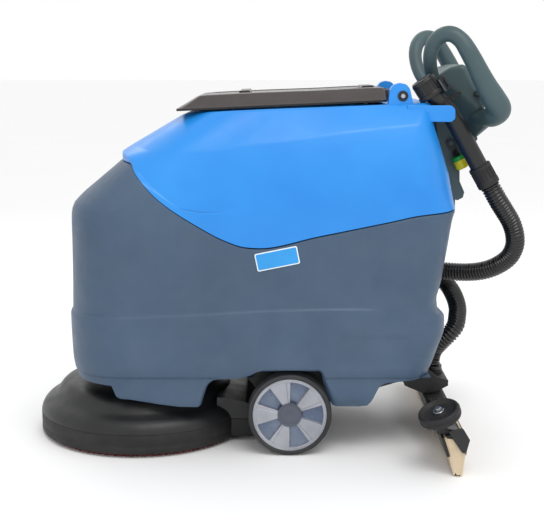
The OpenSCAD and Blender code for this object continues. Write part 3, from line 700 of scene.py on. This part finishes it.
def half_rectangle(x0, x1, w, radius, ends, corners, sides):
    """Half of a rounded rectangle, from the middle of its front edge along +Y to the middle of its rear edge."""
    turn = [(math.sin(a), math.cos(a)) for a in (math.pi / 2 * k / corners for k in range(1, corners + 1))]
    path = [[x0, 0]] + [[x0, lerp(0, w - radius, k / ends)] for k in range(1, ends + 1)]
    path += [[x0 + radius - radius * c, w - radius + radius * s] for s, c in turn]
    path += [[lerp(x0 + radius, x1 - radius, k / sides), w] for k in range(1, sides + 1)]
    path += [[x1 - radius + radius * s, w - radius + radius * c] for s, c in turn]
    return path + [[x1, lerp(w - radius, 0, k / ends)] for k in range(1, ends + 1)]


def mouth_ring(grow, z_off):
    """The rounded rectangular mouth, with as many points as the tank's rings."""
    path = half_rectangle(MOUTH_X[0] - grow, MOUTH_X[1] + grow, MOUTH_Y + grow, MOUTH_R + grow, 10, 8, 60)
    count = len(half_plan(*pchip(LOWER, MIDDLE_Z))) - 1
    return [[x, y, pchip(BRIM, x)[0] + z_off] for x, y in resample(path, count)]


def between(a, b, t, bulge=0.0):
    """A ring part of the way from one ring to the next, pushed out a little in the middle."""
    out = []
    for p, q in zip(a, b):
        x, y, z = (lerp(u, v, t) for u, v in zip(p, q))
        push = bulge * 4 * t * (1 - t)
        out.append([x, y + push * min(1, y / 60), z])
    return out


def upper_tank():
    r0 = seam_ring(3.0, 0.6)
    r1 = upper_ring(-345, 434, 248.5, CREASE_LOW, 96, 1.75, 2.9)
    r2 = upper_ring(-320, 394, 221, CREASE_HIGH, 52, 2.1, 2.7)
    r3 = upper_ring(-203, 388, 176, BRIM, 26, 2.4, 2.5)
    rings = [seam_ring(30, 16), seam_ring(3.4, 12), seam_ring(3.0, 2.2)]
    rings += [between(r0, r1, t, 1.2) for t in (0, 0.03, 0.1, 0.25, 0.45, 0.65, 0.82, 0.93, 0.985)]
    rings += [between(r1, r2, t, 3.5) for t in (0.02, 0.06, 0.14, 0.26, 0.4, 0.55, 0.7, 0.82, 0.91, 0.96, 0.985)]
    rings += [between(r2, r3, t, 2.2) for t in (0.03, 0.08, 0.18, 0.32, 0.5, 0.68, 0.84, 0.93, 0.975)]
    rings += [between(r3, mouth_ring(9, -0.3), t) for t in (0.03, 0.12, 0.4, 0.8)]
    rings += [mouth_ring(9, -0.3), mouth_ring(8, 1.6), mouth_ring(6.5, 2.4), mouth_ring(1.5, 2.4), mouth_ring(0, 1.2)]
    rings += [mouth_ring(0, -9), mouth_ring(-1, -60), mouth_ring(-8, -150), mouth_ring(-22, -196)]
    verts, faces = loft([whole(r) for r in rings])
    n = len(whole(rings[-1]))
    # the floor of the inside, and the underside above the lower tank
    faces += closed_across((len(rings) - 1) * n, n)
    faces += [face[::-1] for face in closed_across(0, n)]
    return verts, faces


make("upper_tank_shell", upper_tank(), "chassis", "tank_blue", ["recovery_tank"], sharp=50)

EAR = [(286, 806, 1), (291, 862, 14), (300, 873, 14), (313, 877, 14), (328, 874, 14), (337, 864, 16), (345, 832, 10),
       (352, 806, 1)]
make("lid_ears", both(slab(rounded(EAR, 8, 6), 150, 174)), "chassis", "tank_blue", bevel=3.5, segments=3)

SHELF = [(330, 796, 4), (350, 789, 8), (432, 788, 6), (441, 795, 7), (441, 817, 8), (432, 826, 9), (330, 826, 2)]


def shelf_part(y0, y1):
    return slab(rounded(SHELF, 5, 5), y0, y1)


shelf_left = joined(shelf_part(-190, -184.5), shelf_part(-131.5, -126),
                    slab([(330, 797), (386, 789), (386, 826), (330, 826)], -184.6, -131.4))
make("hose_shelf_left", shelf_left, "chassis", "tank_blue", bevel=2.4, segments=3)
make("hose_shelf_right", shelf_part(126, 190), "chassis", "tank_blue", bevel=4, segments=3)

BADGE_SLOPE = math.radians(11.5)
for side, name in SIDES:
    # a blank blue plate with a white border on the lower tank's side
    m = frame_matrix((30, side * 249.6, 478), (0, side, 0), (math.cos(BADGE_SLOPE), 0, math.sin(BADGE_SLOPE)))
    make(f"badge_border_{name}", moved(pad(50, 21, 4, 0, 1.9, 0.4, (0.994, 0.985)), m), "chassis", "badge_white",
         ["name_plate"] if side < 0 else [], slot="tank_blue")
    make(f"badge_face_{name}", moved(pad(47.5, 18.5, 2.5, 1.0, 2.3, 0.4, (0.994, 0.985)), m), "chassis", "badge_blue",
         slot="tank_blue")


# ---------- lid ----------

LID_LOW = [(-206, 811), (288, 833)]
LID_HIGH = [(-165, 843), (-150, 847), (-100, 850), (-40, 853), (130, 859.5), (277, 865.5), (288, 865.5)]


def lid_ring(x0, x1, w, table, z_off, radius=14):
    return whole([[x, y, pchip(table, x)[0] + z_off] for x, y in half_rectangle(x0, x1, w, radius, 8, 6, 30)])


def lid_skin():
    """The cover's outside and its hollow underside, joined round the rim and each closed in the middle."""
    outer = [lid_ring(*row) for row in (
        (-205, 288, 159, LID_LOW, 0.5), (-206, 288, 160, LID_LOW, 1.2), (-206, 288, 160, LID_LOW, 5.2),
        (-204, 287.6, 158, LID_LOW, 6.8), (-199, 287.2, 154.5, LID_LOW, 9), (-168, 283.5, 139.5, LID_HIGH, -4),
        (-163, 282, 137, LID_HIGH, -1.3), (-158, 279, 133.5, LID_HIGH, 0), (-140, 262, 118, LID_HIGH, 0.4),
        (-137, 259, 115, LID_HIGH, -1.6), (-60, 180, 40, LID_HIGH, -1.4, 10))]
    inner = [lid_ring(*row) for row in (
        (-50, 170, 34, LID_HIGH, -6, 10), (-152, 274, 128, LID_HIGH, -5.5), (-162, 280, 136, LID_HIGH, -9),
        (-196, 283, 153.5, LID_LOW, 5), (-199, 284, 155, LID_LOW, 0.6))]
    verts, faces = loft(outer + inner, wrap=True)
    n, row = len(outer[0]), len(outer) - 1
    faces = [f for f in faces if (min(f) // n, max(f) // n) != (row, row + 1)]
    return verts, faces + closed_across(row * n, n) + closed_across((row + 1) * n, n)


make("lid_cover", lid_skin(), "lid", "lid_smoke", ["recovery_lid"], sharp=28)
edge = loft([lid_ring(-205, 287.8, 158.6, LID_LOW, 0.2), lid_ring(-206.3, 288.3, 160.3, LID_LOW, 0.4),
             lid_ring(-206.3, 288.3, 160.3, LID_LOW, 4.6), lid_ring(-205, 287.8, 159, LID_LOW, 5.4)])
make("lid_edge_seal", edge, "lid", "black_rubber", sharp=40)

lid_bump = slab(rounded([(-62, 852, 1), (-58, 857.5, 2), (-36, 858.5, 2), (-32, 853, 1)], 1.5), -96, 96)
lid_stop = slab(rounded([(232, 863, 1), (236, 868.5, 2), (262, 869.5, 2), (266, 864, 1)], 1.5), -60, 60)
make("lid_ribs", joined(lid_bump, lid_stop), "lid", "lid_smoke", bevel=1.2)

KNUCKLE = [(274, 842, 2), (274, 861, 3), (300, 861, 4), (312, 858, 10), (331, 854, 10), (332, 840, 9), (316, 836, 8),
           (296, 838, 3)]
make("lid_knuckles", both(slab(rounded(KNUCKLE, 4), 110, 127)), "lid", "lid_smoke", bevel=1.5)

HINGE_X, HINGE_Z = 321, 847
for side, name in SIDES:
    axis = (0, side, 0)
    at = (HINGE_X, side * 174.2, HINGE_Z)
    washer = revolve([(0.1, 0), (12, 0), (12, 2.2), (11, 3.4), (7.2, 3.6), (6.6, 2.6), (0.1, 2.6)], 40, at, axis)
    make(f"lid_washer_{name}", washer, "chassis", "black_plastic", ["lid_hinge_pins"] if side < 0 else [])
    head = moved(hex_head(6, 12, 2.4, 5.6, 6.6), frame_matrix(at, axis))
    make(f"lid_bolt_{name}", head, "chassis", "steel", sharp=25)
    pin = revolve([(0.1, 0), (5.8, 0), (5.8, 46), (4.8, 47), (0.1, 47)], 24, (HINGE_X, side * 127.5, HINGE_Z), axis)
    make(f"lid_pin_{name}", pin, "chassis", "steel")

# ---------- console ----------

LOOP = [
    [424, 84, 868, 14], [405, 99, 880, 15], [392, 117, 908, 16], [387, 136, 940, 16.5], [393, 153, 968, 17.5],
    [409, 168, 985, 18], [430, 178, 987, 18.5], [450, 185, 973, 19], [465, 190, 951, 20.5], [481, 190, 924, 21.5],
    [496, 190, 896, 23], [512, 189, 868, 25], [530, 186, 840, 27.5], [544, 176, 817, 28], [536, 158, 802, 26],
    [524, 132, 795, 22], [508, 104, 792, 20], [498, 82, 792, 18],
]


loop_line = catmull(LOOP, 7)
loops = both(tube(loop_line, lambda i, w: loop_line[i][3], 30))
make("handle_loops_moulded", loops, "chassis", "handle_grey", ["handle_loops"], sharp=60)

LEAN = math.radians(24)
PANEL_DOWN = Vector((math.sin(LEAN), 0, -math.cos(LEAN)))
PANEL_OUT = Vector((math.cos(LEAN), 0, math.sin(LEAN)))
PANEL_FACE = -4.95


def panel_point(down, y, out):
    return Vector((497, y, 868)) + PANEL_DOWN * down + PANEL_OUT * out


def hull(name, balls):
    """The convex hull of (x, y, z, radius) balls, as a mesh."""
    work = bmesh.new()
    for *centre, radius in balls:
        for i in range(1, 8):
            lat = math.pi * i / 8 - math.pi / 2
            for k in range(14):
                lon = math.tau * k / 14
                out = Vector((math.cos(lat) * math.cos(lon), math.cos(lat) * math.sin(lon), math.sin(lat)))
                work.verts.new((Vector(centre) + out * radius) * MM)
    bmesh.ops.convex_hull(work, input=work.verts, use_existing_faces=False)
    bmesh.ops.delete(work, geom=[v for v in work.verts if not v.link_faces], context="VERTS")
    mesh = bpy.data.meshes.new(name)
    work.to_mesh(mesh)
    work.free()
    return mesh


BOWL = ((424, 92, 884, 16), (444, 95, 899, 15), (467, 99, 906, 14), (507, 107, 824, 18), (500, 90, 806, 18),
        (436, 76, 822, 16), (470, 70, 806, 17), (426, 84, 850, 14), (497, 79, 760, 14))
TRAY = (92, 186, 78)


def pod():
    """The console's bowl: a rounded block with the panel's tray pressed into its rear face."""
    piece = linked("console_bowl", hull("console_bowl", [(x, s * y, z, r) for s in (-1, 1) for x, y, z, r in BOWL]))
    place = Matrix((PANEL_DOWN, Vector((0, 1, 0)), PANEL_OUT)).transposed().to_4x4()
    place.translation = panel_point(-3, 0, 30) * MM
    cutter = bmesh.new()
    bmesh.ops.create_cube(cutter, size=1)
    bmesh.ops.scale(cutter, vec=Vector(TRAY) * MM, verts=cutter.verts)
    bmesh.ops.bevel(cutter, geom=cutter.edges[:], offset=6 * MM, segments=3, affect="EDGES")
    bmesh.ops.transform(cutter, matrix=place, verts=cutter.verts)
    cutter_mesh = bpy.data.meshes.new("tray_cutter")
    cutter.to_mesh(cutter_mesh)
    cutter.free()
    tool = linked("tray_cutter", cutter_mesh)
    modifier(piece, "BOOLEAN", object=tool, operation="DIFFERENCE", solver="EXACT")
    modifier(piece, "REMESH", mode="VOXEL", voxel_size=3.2 * MM)
    modifier(piece, "SMOOTH", factor=0.5, iterations=6)
    final = bpy.data.meshes.new_from_object(piece.evaluated_get(bpy.context.evaluated_depsgraph_get()))
    final.name = "console_bowl_moulded"
    for o in (piece, tool):
        bpy.data.objects.remove(o)
    return final


finish_piece("console_bowl_moulded", pod(), "chassis", "handle_grey", ["console_pod"], sharp=180)

# the moulding that runs from each loop's lower corner in to the stem
GUSSET = ((532, 148, 801, 17), (510, 92, 792, 15), (503, 82, 754, 11), (482, 80, 772, 12))
for side, name in SIDES:
    mesh = hull("console_gusset", [(x, side * y, z, r) for x, y, z, r in GUSSET])
    finish_piece(f"console_gusset_{name}", mesh, "chassis", "handle_grey", sharp=60)

# raised frames round the controls, and three small lamps: (down, y, half down, half y, depth)
for label, down, y, half_down, half_y, depth in (
        ("gauge_frame", -23, 36, 17, 30, 1.1), ("button_frame", -22, -42, 15, 34, 0.9),
        ("key_frame", 20, -50, 16, 16, 0.9), ("knob_frame", 20, 50, 20, 20, 0.9)):
    m = frame_matrix(panel_point(down, y, PANEL_FACE), PANEL_OUT, PANEL_DOWN)
    make(f"panel_{label}", moved(pad(half_down, half_y, 3, 0, depth, 0.5, (0.97, 0.985)), m), "chassis", "hub_grey",
         slot="black_plastic")
LAMP = [(0.1, 0), (3, 0), (3, 1.2), (2, 2.2), (0.1, 2.6)]
for i, y in enumerate((18, 36, 54)):
    make(f"panel_lamp_{i}", revolve(LAMP, 20, panel_point(2, y, PANEL_FACE), PANEL_OUT), "chassis", "button_green")

KNOB_AT = panel_point(20, 50, 0)
KNOB = [(0.1, -4.4), (13.6, -4.4), (14, -3.6), (13.6, 2), (12.4, 6.6), (11, 8.2), (0.1, 8.4)]
make("water_dial_skirt", revolve(KNOB, 48, KNOB_AT, PANEL_OUT), "water_dial", "black_plastic")
knob_ridges = ridges(18, [(13.2, 0.9), (14.4, 0), (13.2, -0.9)], -3.4, 5.6, frame_matrix(KNOB_AT, PANEL_OUT), 0.95)
make("water_dial_ridges", knob_ridges, "water_dial", "black_plastic")


# ---------- drain tube, its cap and cuff ----------

TUBE_Y = -158
TUBE = [[507, 680], [478, 730.7], [450, 779.6], [438, 800.5], [429, 813.5], [412, 830.5], [398, 844], [392, 851.5],
        [387, 859.5]]
tube_line = catmull([[x, TUBE_Y, z] for x, z in TUBE], 10)
make("drain_tube_smooth", tube(tube_line, 21, 36), "chassis", "black_plastic", ["drain_tube"])

CUFF_TOP, CUFF_AXIS = (505, TUBE_Y, 683.4), (26, 0, -44.6)
CUFF = [(21.2, 0), (25.4, 0), (26.6, 1.2), (26.8, 3), (26.8, 9), (25.6, 10), (25.2, 12), (25.4, 36), (26.6, 38),
        (27, 40), (27, 49.5), (26, 51.4), (20, 51.6), (20, 30), (21.2, 28)]
make("hose_cuff_moulded", revolve(CUFF, 56, CUFF_TOP, CUFF_AXIS), "chassis", "black_rubber", ["hose_cuff"])
fins = ridges(16, [(24.8, 1.5), (26.6, 1), (26.6, -1), (24.8, -1.5)], 11, 37, frame_matrix(CUFF_TOP, CUFF_AXIS))
make("hose_cuff_fins", fins, "chassis", "black_rubber")

CAP_AT = Vector((386, TUBE_Y, 854.5))
CAP_AXIS = Vector((-0.554844, 0, 0.831954))
CAP_SIDE = Vector((0.831954, 0, 0.554844))
CAP = [(25, -11), (28, -11), (28.8, -10), (30.8, -9.4), (31.4, -8.4), (31.4, -1), (30.8, 0.4), (28.6, 1), (28.2, 2.4),
       (28.2, 25), (29.4, 26), (29.4, 30), (28.4, 31.2), (27.8, 34.6), (25.6, 36.6), (22, 37), (20.5, 36), (20, 33.4),
       (0.1, 33.2), (0.1, 12), (24.6, 12), (25, 10)]
make("drain_cap_turned", revolve(CAP, 56, CAP_AT, CAP_AXIS), "hose_cap", "black_plastic", ["drain_cap"])
CAP_RIDGE = [(27.6, 1.7), (29.3, 1.1), (29.3, -1.1), (27.6, -1.7)]
cap_ridges = ridges(22, CAP_RIDGE, 2.5, 25.4, frame_matrix(CAP_AT, CAP_AXIS))
make("drain_cap_ridges", cap_ridges, "hose_cap", "black_plastic")


def cap_block(u0, u1, v0, v1, w0, w1):
    """A box beside the cap: u runs outward from its axis, v along Y and w along the axis."""
    return capped([[list(CAP_AT + CAP_SIDE * u + Vector((0, v, 0)) + CAP_AXIS * w)
                    for v, w in ((v0, w0), (v1, w0), (v1, w1), (v0, w1))] for u in (u0, u1)])


clip = joined(cap_block(27, 36.5, -18, 2, -17, 17), cap_block(40.5, 45, -18, 2, -17, 17),
              cap_block(36, 41, -18, 2, -17, -9.5), cap_block(36, 41, -18, 2, 9.5, 17))
make("drain_cap_clip", clip, "hose_cap", "black_plastic", bevel=1.6)
clip_ribs = joined(*[cap_block(44.6, 45.4, -16, 0, w, w + 2.4) for w in (-13, -7, -1, 5, 11)])
make("drain_cap_clip_ribs", clip_ribs, "hose_cap", "hub_grey", slot="steel", bevel=0.3)
# A grey strip on the clip's near face, along the cap where it meets the clip: its grey is a painted highlight line.
make("drain_cap_clip_painted_highlight", cap_block(28, 31.5, -20.5, -17, -15, 15), "hose_cap", "hub_grey", bevel=0.8)

TETHER_RING = [(21.1, 0), (23.6, 0), (24.4, 1), (24.4, 3), (22.6, 4), (22.6, 5), (24.4, 6), (24.4, 8), (23.6, 9),
               (21.1, 9)]
tether_ring = revolve(TETHER_RING, 48, (417, TUBE_Y, 825.7), (-0.7145, 0, 0.6996))
make("tether_ring", tether_ring, "chassis", "black_rubber")
TETHER = [(426, 838), (433, 843.5), (441, 850.5), (449, 855.5), (455, 854), (453.5, 847), (446, 842), (438, 839),
          (429, 836)]
tether = catmull([[x, TUBE_Y, z] for x, z in TETHER], 6)
make("tether_loop", tube(tether, 2.6, 12), "chassis", "black_rubber")


# ---------- lever grips ----------


GRIP_COLLAR = [(0.1, 0.2), (14.6, 0.2), (16.4, 1.4), (17, 4), (17, 9.6), (0.1, 9.6)]
GRIP_BODY = [(0.1, 10.4), (17, 10.4), (17, 27), (16.2, 30.4), (14, 32.4), (0.1, 32.6)]
GRIP_WAIST = [(13.2, 9.4), (14.6, 9.4), (14.6, 10.6), (13.2, 10.6)]
for lever, y in (("squeegee", -112), ("deck", 112)):
    top, down = Vector((462, y, 704)), Vector((15, 0, -29))
    body = f"{lever}_hand_lever"
    make(f"{lever}_lever_grip_collar", revolve(GRIP_COLLAR, 44, top, down), body, "button_green", [f"{lever}_grip"])
    make(f"{lever}_lever_grip_body", revolve(GRIP_BODY, 44, top, down), body, "grip_yellow")
    make(f"{lever}_lever_grip_waist", revolve(GRIP_WAIST, 36, top, down), body, "black_plastic")


# ---------- wheels ----------


TYRE = [(88, -20.5), (94.5, -22.4), (97.4, -21), (98.9, -18.4), (99.9, -14.5), (100, -9)]
for h in (-6.8, 0, 6.8):
    TYRE += [(100, h - 1.3), (98.6, h - 0.8), (98.6, h + 0.8), (100, h + 1.3)]
TYRE += [(100, 9), (99.9, 14.5), (98.9, 18.4), (97.4, 21), (94.5, 22.4), (92, 21.8), (91.2, 22.2), (90.2, 21.2),
         (88, 20.5)]
HUB_CAP = [(0.1, 16.3), (26, 16.3), (29, 16.6), (29, 19.6), (28.2, 20.8), (24.5, 21), (23.4, 20.2), (22.4, 20.3),
           (20.5, 21.2), (10, 21.4), (9, 20.8), (0.1, 20.8)]
RIM_LIP = [(84.5, 13.5), (88.2, 13.8), (88.4, 19.6), (87.2, 20.8), (85.6, 20.6), (84.4, 18.8)]
RIM_DISH = [(26, 8.4), (32, 9.8), (60, 8.9), (80, 10.2), (85.5, 13.4), (85.5, 9), (26, 7.4)]
FLARE = math.tan(math.radians(15.2))


def spoke(angle):
    """One spoke on the wheel's outer face, flared towards the rim."""
    c, s = math.cos(angle), math.sin(angle)
    rows = []
    for r in (27, 34, 46, 60, 74, 84.6):
        half = r * FLARE
        row = [(-half - 2.4, 9), (-half, 16.9), (-half + 1.3, 18.1), (half - 1.3, 18.1), (half, 16.9), (half + 2.4, 9)]
        rows.append([[r * c - t * s, r * s + t * c, h] for t, h in row])
    return loft(rows, False)


for side, name in SIDES:
    centre, axis, body = (60, side * 222.5, 100), (0, side, 0), f"{name}_wheel"
    make(f"{name}_tyre_moulded", revolve(TYRE, 120, centre, axis), body, "tyre", [f"{name}_tyre"], sharp=50)
    make(f"{name}_hub_cap_turned", revolve(HUB_CAP, 64, centre, axis), body, "hub_grey", [f"{name}_hub_cap"], sharp=40)
    make(f"{name}_rim_lip", revolve(RIM_LIP, 96, centre, axis), body, "rim_silver", sharp=40)
    # the dish between the spokes takes the rim's darker copy: its colour is painted shade and reflection in the pockets
    make(f"{name}_rim_dish_painted_shade", revolve(RIM_DISH, 96, centre, axis), body, "rim_dish_painted_shade", slot="rim_silver", sharp=40)
    spokes = joined(*[spoke(math.radians(33 + 72 * k) * side) for k in range(5)])
    make(f"{name}_rim_spokes", moved(spokes, frame_matrix(centre, axis)), body, "rim_silver", sharp=30)


# ---------- brush deck ----------

DECK_X = -308
DOME = [(40, 134), (150, 134), (178, 133), (192, 130.6), (204, 125.5), (213, 117.5), (220, 108), (226, 99.5),
        (233, 93.5), (243, 88), (252, 81.5), (258.5, 74), (262.5, 66), (264.4, 59.5), (264.6, 57.2), (260, 57.2),
        (255, 66), (246, 74), (232, 80), (218, 92), (204, 110), (190, 124), (176, 128), (40, 128)]
make("deck_dome", revolve(DOME, 144, (DECK_X, 0, 0)), "deck", "black_plastic", ["deck_cover"], sharp=55)
TAIL = [(-118, 57.5, 1), (-9, 57.5, 3), (-9, 70, 8), (-44, 100, 22), (-96, 112, 14), (-118, 112, 1)]
make("deck_tail", slab(rounded(TAIL, 6, 6), -139, 139), "deck", "black_plastic", bevel=6, segments=4)
SKIRT = [(262, 9.4), (263.4, 9.2), (264.9, 10.8), (264.9, 24), (264.3, 25), (264.3, 31), (264.9, 32), (264.9, 54.5),
         (264, 56.4), (258.6, 56.4), (258.6, 12)]
make("deck_skirt_ring", revolve(SKIRT, 144, (DECK_X, 0, 0)), "deck", "black_rubber", ["deck_skirt"], sharp=50)
TAIL_SKIRT = [(-104, 12, 1), (-14, 12, 3), (-11, 15, 3), (-11, 56.4, 2), (-104, 56.4, 1)]
tail_skirt = joined(both(slab(rounded(TAIL_SKIRT, 2), 133, 138.4)),
                    slab([(-17, 12), (-11, 12), (-11, 56.4), (-17, 56.4)], -138, 138))
make("deck_skirt_tail", tail_skirt, "deck", "black_rubber", bevel=1.2)

SCREW = [(0.1, -0.4), (3.6, -0.4), (3.6, 0.1), (2.8, 0.5), (0.1, 0.6)]
screws = []
for degrees in range(45, 316, 30):
    # none at 15 degrees to either side, where the tail is
    c, s = math.cos(math.radians(degrees)), math.sin(math.radians(degrees))
    screws.append(revolve(SCREW, 16, (DECK_X + 264.3 * c, 264.3 * s, 44), (c, s, 0)))
make("deck_screws", joined(*screws), "deck", "hub_grey", slot="black_plastic", sharp=40)

# The tufts take the darkened red, which is painted shade from under the skirt.
tufts = []
for r, count, wide in ((245, 112, 5.4), (232, 88, 5.2), (214, 80, 5.2), (198, 74, 4.6), (150, 56, 5.2), (132, 48, 5.2)):
    for k in range(count):
        a = math.tau * (k + 0.5 * (count % 3)) / count
        lean_out = rng.uniform(-1.2, 1.2)
        rings = []
        for z, w, push in ((44, 0.72, 0), (26, 0.84, 0.4), (8, 1.0, 1.0), (0.3, 1.06, 1.2)):
            reach = r + lean_out * push * 0.6
            cx, cy = DECK_X + reach * math.cos(a), reach * math.sin(a)
            rings.append([[cx + wide * w * math.cos(math.tau * q / 7), cy + wide * w * math.sin(math.tau * q / 7), z]
                          for q in range(7)])
        tufts.append(loft(rings, cap_end=True))
make("brush_tufts", joined(*tufts), "brush", "bristle_red", ["brush_bristles"], sharp=60)


# ---------- squeegee ----------


ROLLER = [(5.4, -12), (20, -13.2), (38, -13.8), (44, -13), (47.6, -10.4), (49, -6.8), (49, -2.6), (47.8, -1.4),
          (47.8, 0.6), (49, 1.8), (49, 5), (47.6, 8.6), (45, 11.2), (42.4, 11.8), (40.4, 10.6), (37.6, 5.4), (33, 3.4),
          (20, 2.8), (14, 3.2), (11.4, 5), (9.8, 7.6), (5.4, 7.9)]
WASHER = [(5.2, 8.3), (12.4, 8.3), (13, 8.8), (13, 9.8), (12.2, 10.4), (5.2, 10.4)]
# the cream seal that closes the end between the blades, the clamp over its top and the front blade's lip
END_SEAL = [(411, 90, 1), (455, 85, 1), (446.5, 5, 2), (437, 3, 1), (430, 12, 2)]
END_CLAMP = [(414, 108, 3), (446, 116, 6), (463, 88, 4), (455, 56, 6), (446, 58, 4), (424, 90, 5)]
END_LIP = [(399, 92, 1), (406, 92, 1), (420, 48, 1.5), (413.5, 46, 1.5)]
for side, name in SIDES:
    at, axis = (398, side * 350, 139), Vector((-0.334546, 0.207912 * side, 0.919158))
    make(f"{name}_roller_dished", revolve(ROLLER, 88, at, axis), f"{name}_roller", "black_rubber",
         [f"{name}_bumper_roller"], sharp=50)
    bolt = joined(revolve(WASHER, 40), hex_head(8, 0, 10.4, 15.4, 16.6))
    make(f"{name}_roller_bolt", moved(bolt, frame_matrix(at, axis)), "squeegee", "steel", sharp=28)
for side, name in SIDES:
    for label, outline, radius, y0, y1, material, width in (
            ("end_seal", END_SEAL, 1, 374.3, 379.4, "blade_cream", 0.8),
            ("end_clamp", END_CLAMP, 3, 379.6, 384.4, "black_plastic", 1.2),
            ("end_lip", END_LIP, 1, 360, 380, "black_rubber", 0.8)):
        part = slab(rounded(outline, radius), *sorted((side * y0, side * y1)))
        make(f"{name}_{label}", part, "squeegee", material, bevel=width)


# ---------- kept CAD nodes: rounded edges and finishes ----------

SLOTS = {s["node"]: s["material_slot"] for s in frame["record"]["subparts"]}
EDGE = {node: width for width, names in (
    (4, "console_stem battery_pack"), (2, "vacuum_motor brush_motor"), (1.5, "solenoid_valve brush_disc"),
    (1.6, "squeegee_yoke squeegee_body filler_cap drive_bar"), (1.4, "squeegee_arm"), (0.8, "lid_gasket"),
    (1.2, "chassis_frame suction_port tank_fittings"), (0.6, "suction_filter key_switch"),
    (1, "charge_socket control_panel left_rim right_rim deck_brackets lower_deck_arms upper_deck_arms"),
    (1, "squeegee_knobs squeegee_lever deck_lever"), (0.4, "front_blade rear_blade"),
) for node in names.split()}
for node, piece in NODES.items():
    if piece.hide_render:
        continue
    piece.data.materials.clear()
    piece.data.materials.append(MAT[SLOTS[node]])
    modifier(piece, "WELD", merge_threshold=1e-5)
    add_bevel(piece, EDGE.get(node, 0.5), 2, 28)

# ---------- stage ----------

bpy.context.scene.view_settings.view_transform = "Standard"

floor_material, floor_tree, floor_shader = new_material("studio_floor")
floor_shades = [(0.3, (0.94, 0.94, 0.945)), (0.7, (0.95, 0.95, 0.95))]
floor_tree.links.new(ramp(floor_tree, noise(floor_tree, 1.2, 3), floor_shades), floor_shader.inputs["Base Color"])
floor_shader.inputs["Roughness"].default_value = 0.95
floor_mesh = bpy.data.meshes.new("studio_floor")
floor_mesh.from_pydata([(-60, -60, 0), (60, -60, 0), (60, 60, 0), (-60, 60, 0)], [], [(0, 1, 2, 3)])
floor_mesh.materials.append(floor_material)
floor = linked("studio_floor", floor_mesh)
floor.location.z = -0.0004

world = bpy.data.worlds.new("studio")
bpy.context.scene.world = world
world.use_nodes = True
world.node_tree.nodes["Background"].inputs["Color"].default_value = (1, 1, 1, 1)
world.node_tree.nodes["Background"].inputs["Strength"].default_value = 1.0


def softbox(name, location, target, size, energy, colour=(1, 1, 1)):
    data = bpy.data.lights.new(name, "AREA")
    data.shape = "RECTANGLE"
    data.size, data.size_y = size
    data.energy = energy
    data.color = colour
    lamp = linked(name, data)
    lamp.location = location
    lamp.rotation_euler = (Vector(target) - Vector(location)).to_track_quat("-Z", "Y").to_euler()


softbox("key", (0.7, -2.0, 3.2), (0.1, 0, 0.6), (2.2, 1.4), 40, (1, 0.99, 0.97))
softbox("back", (-0.6, 2.4, 2.6), (0, 0, 0.6), (2.4, 1.4), 16)
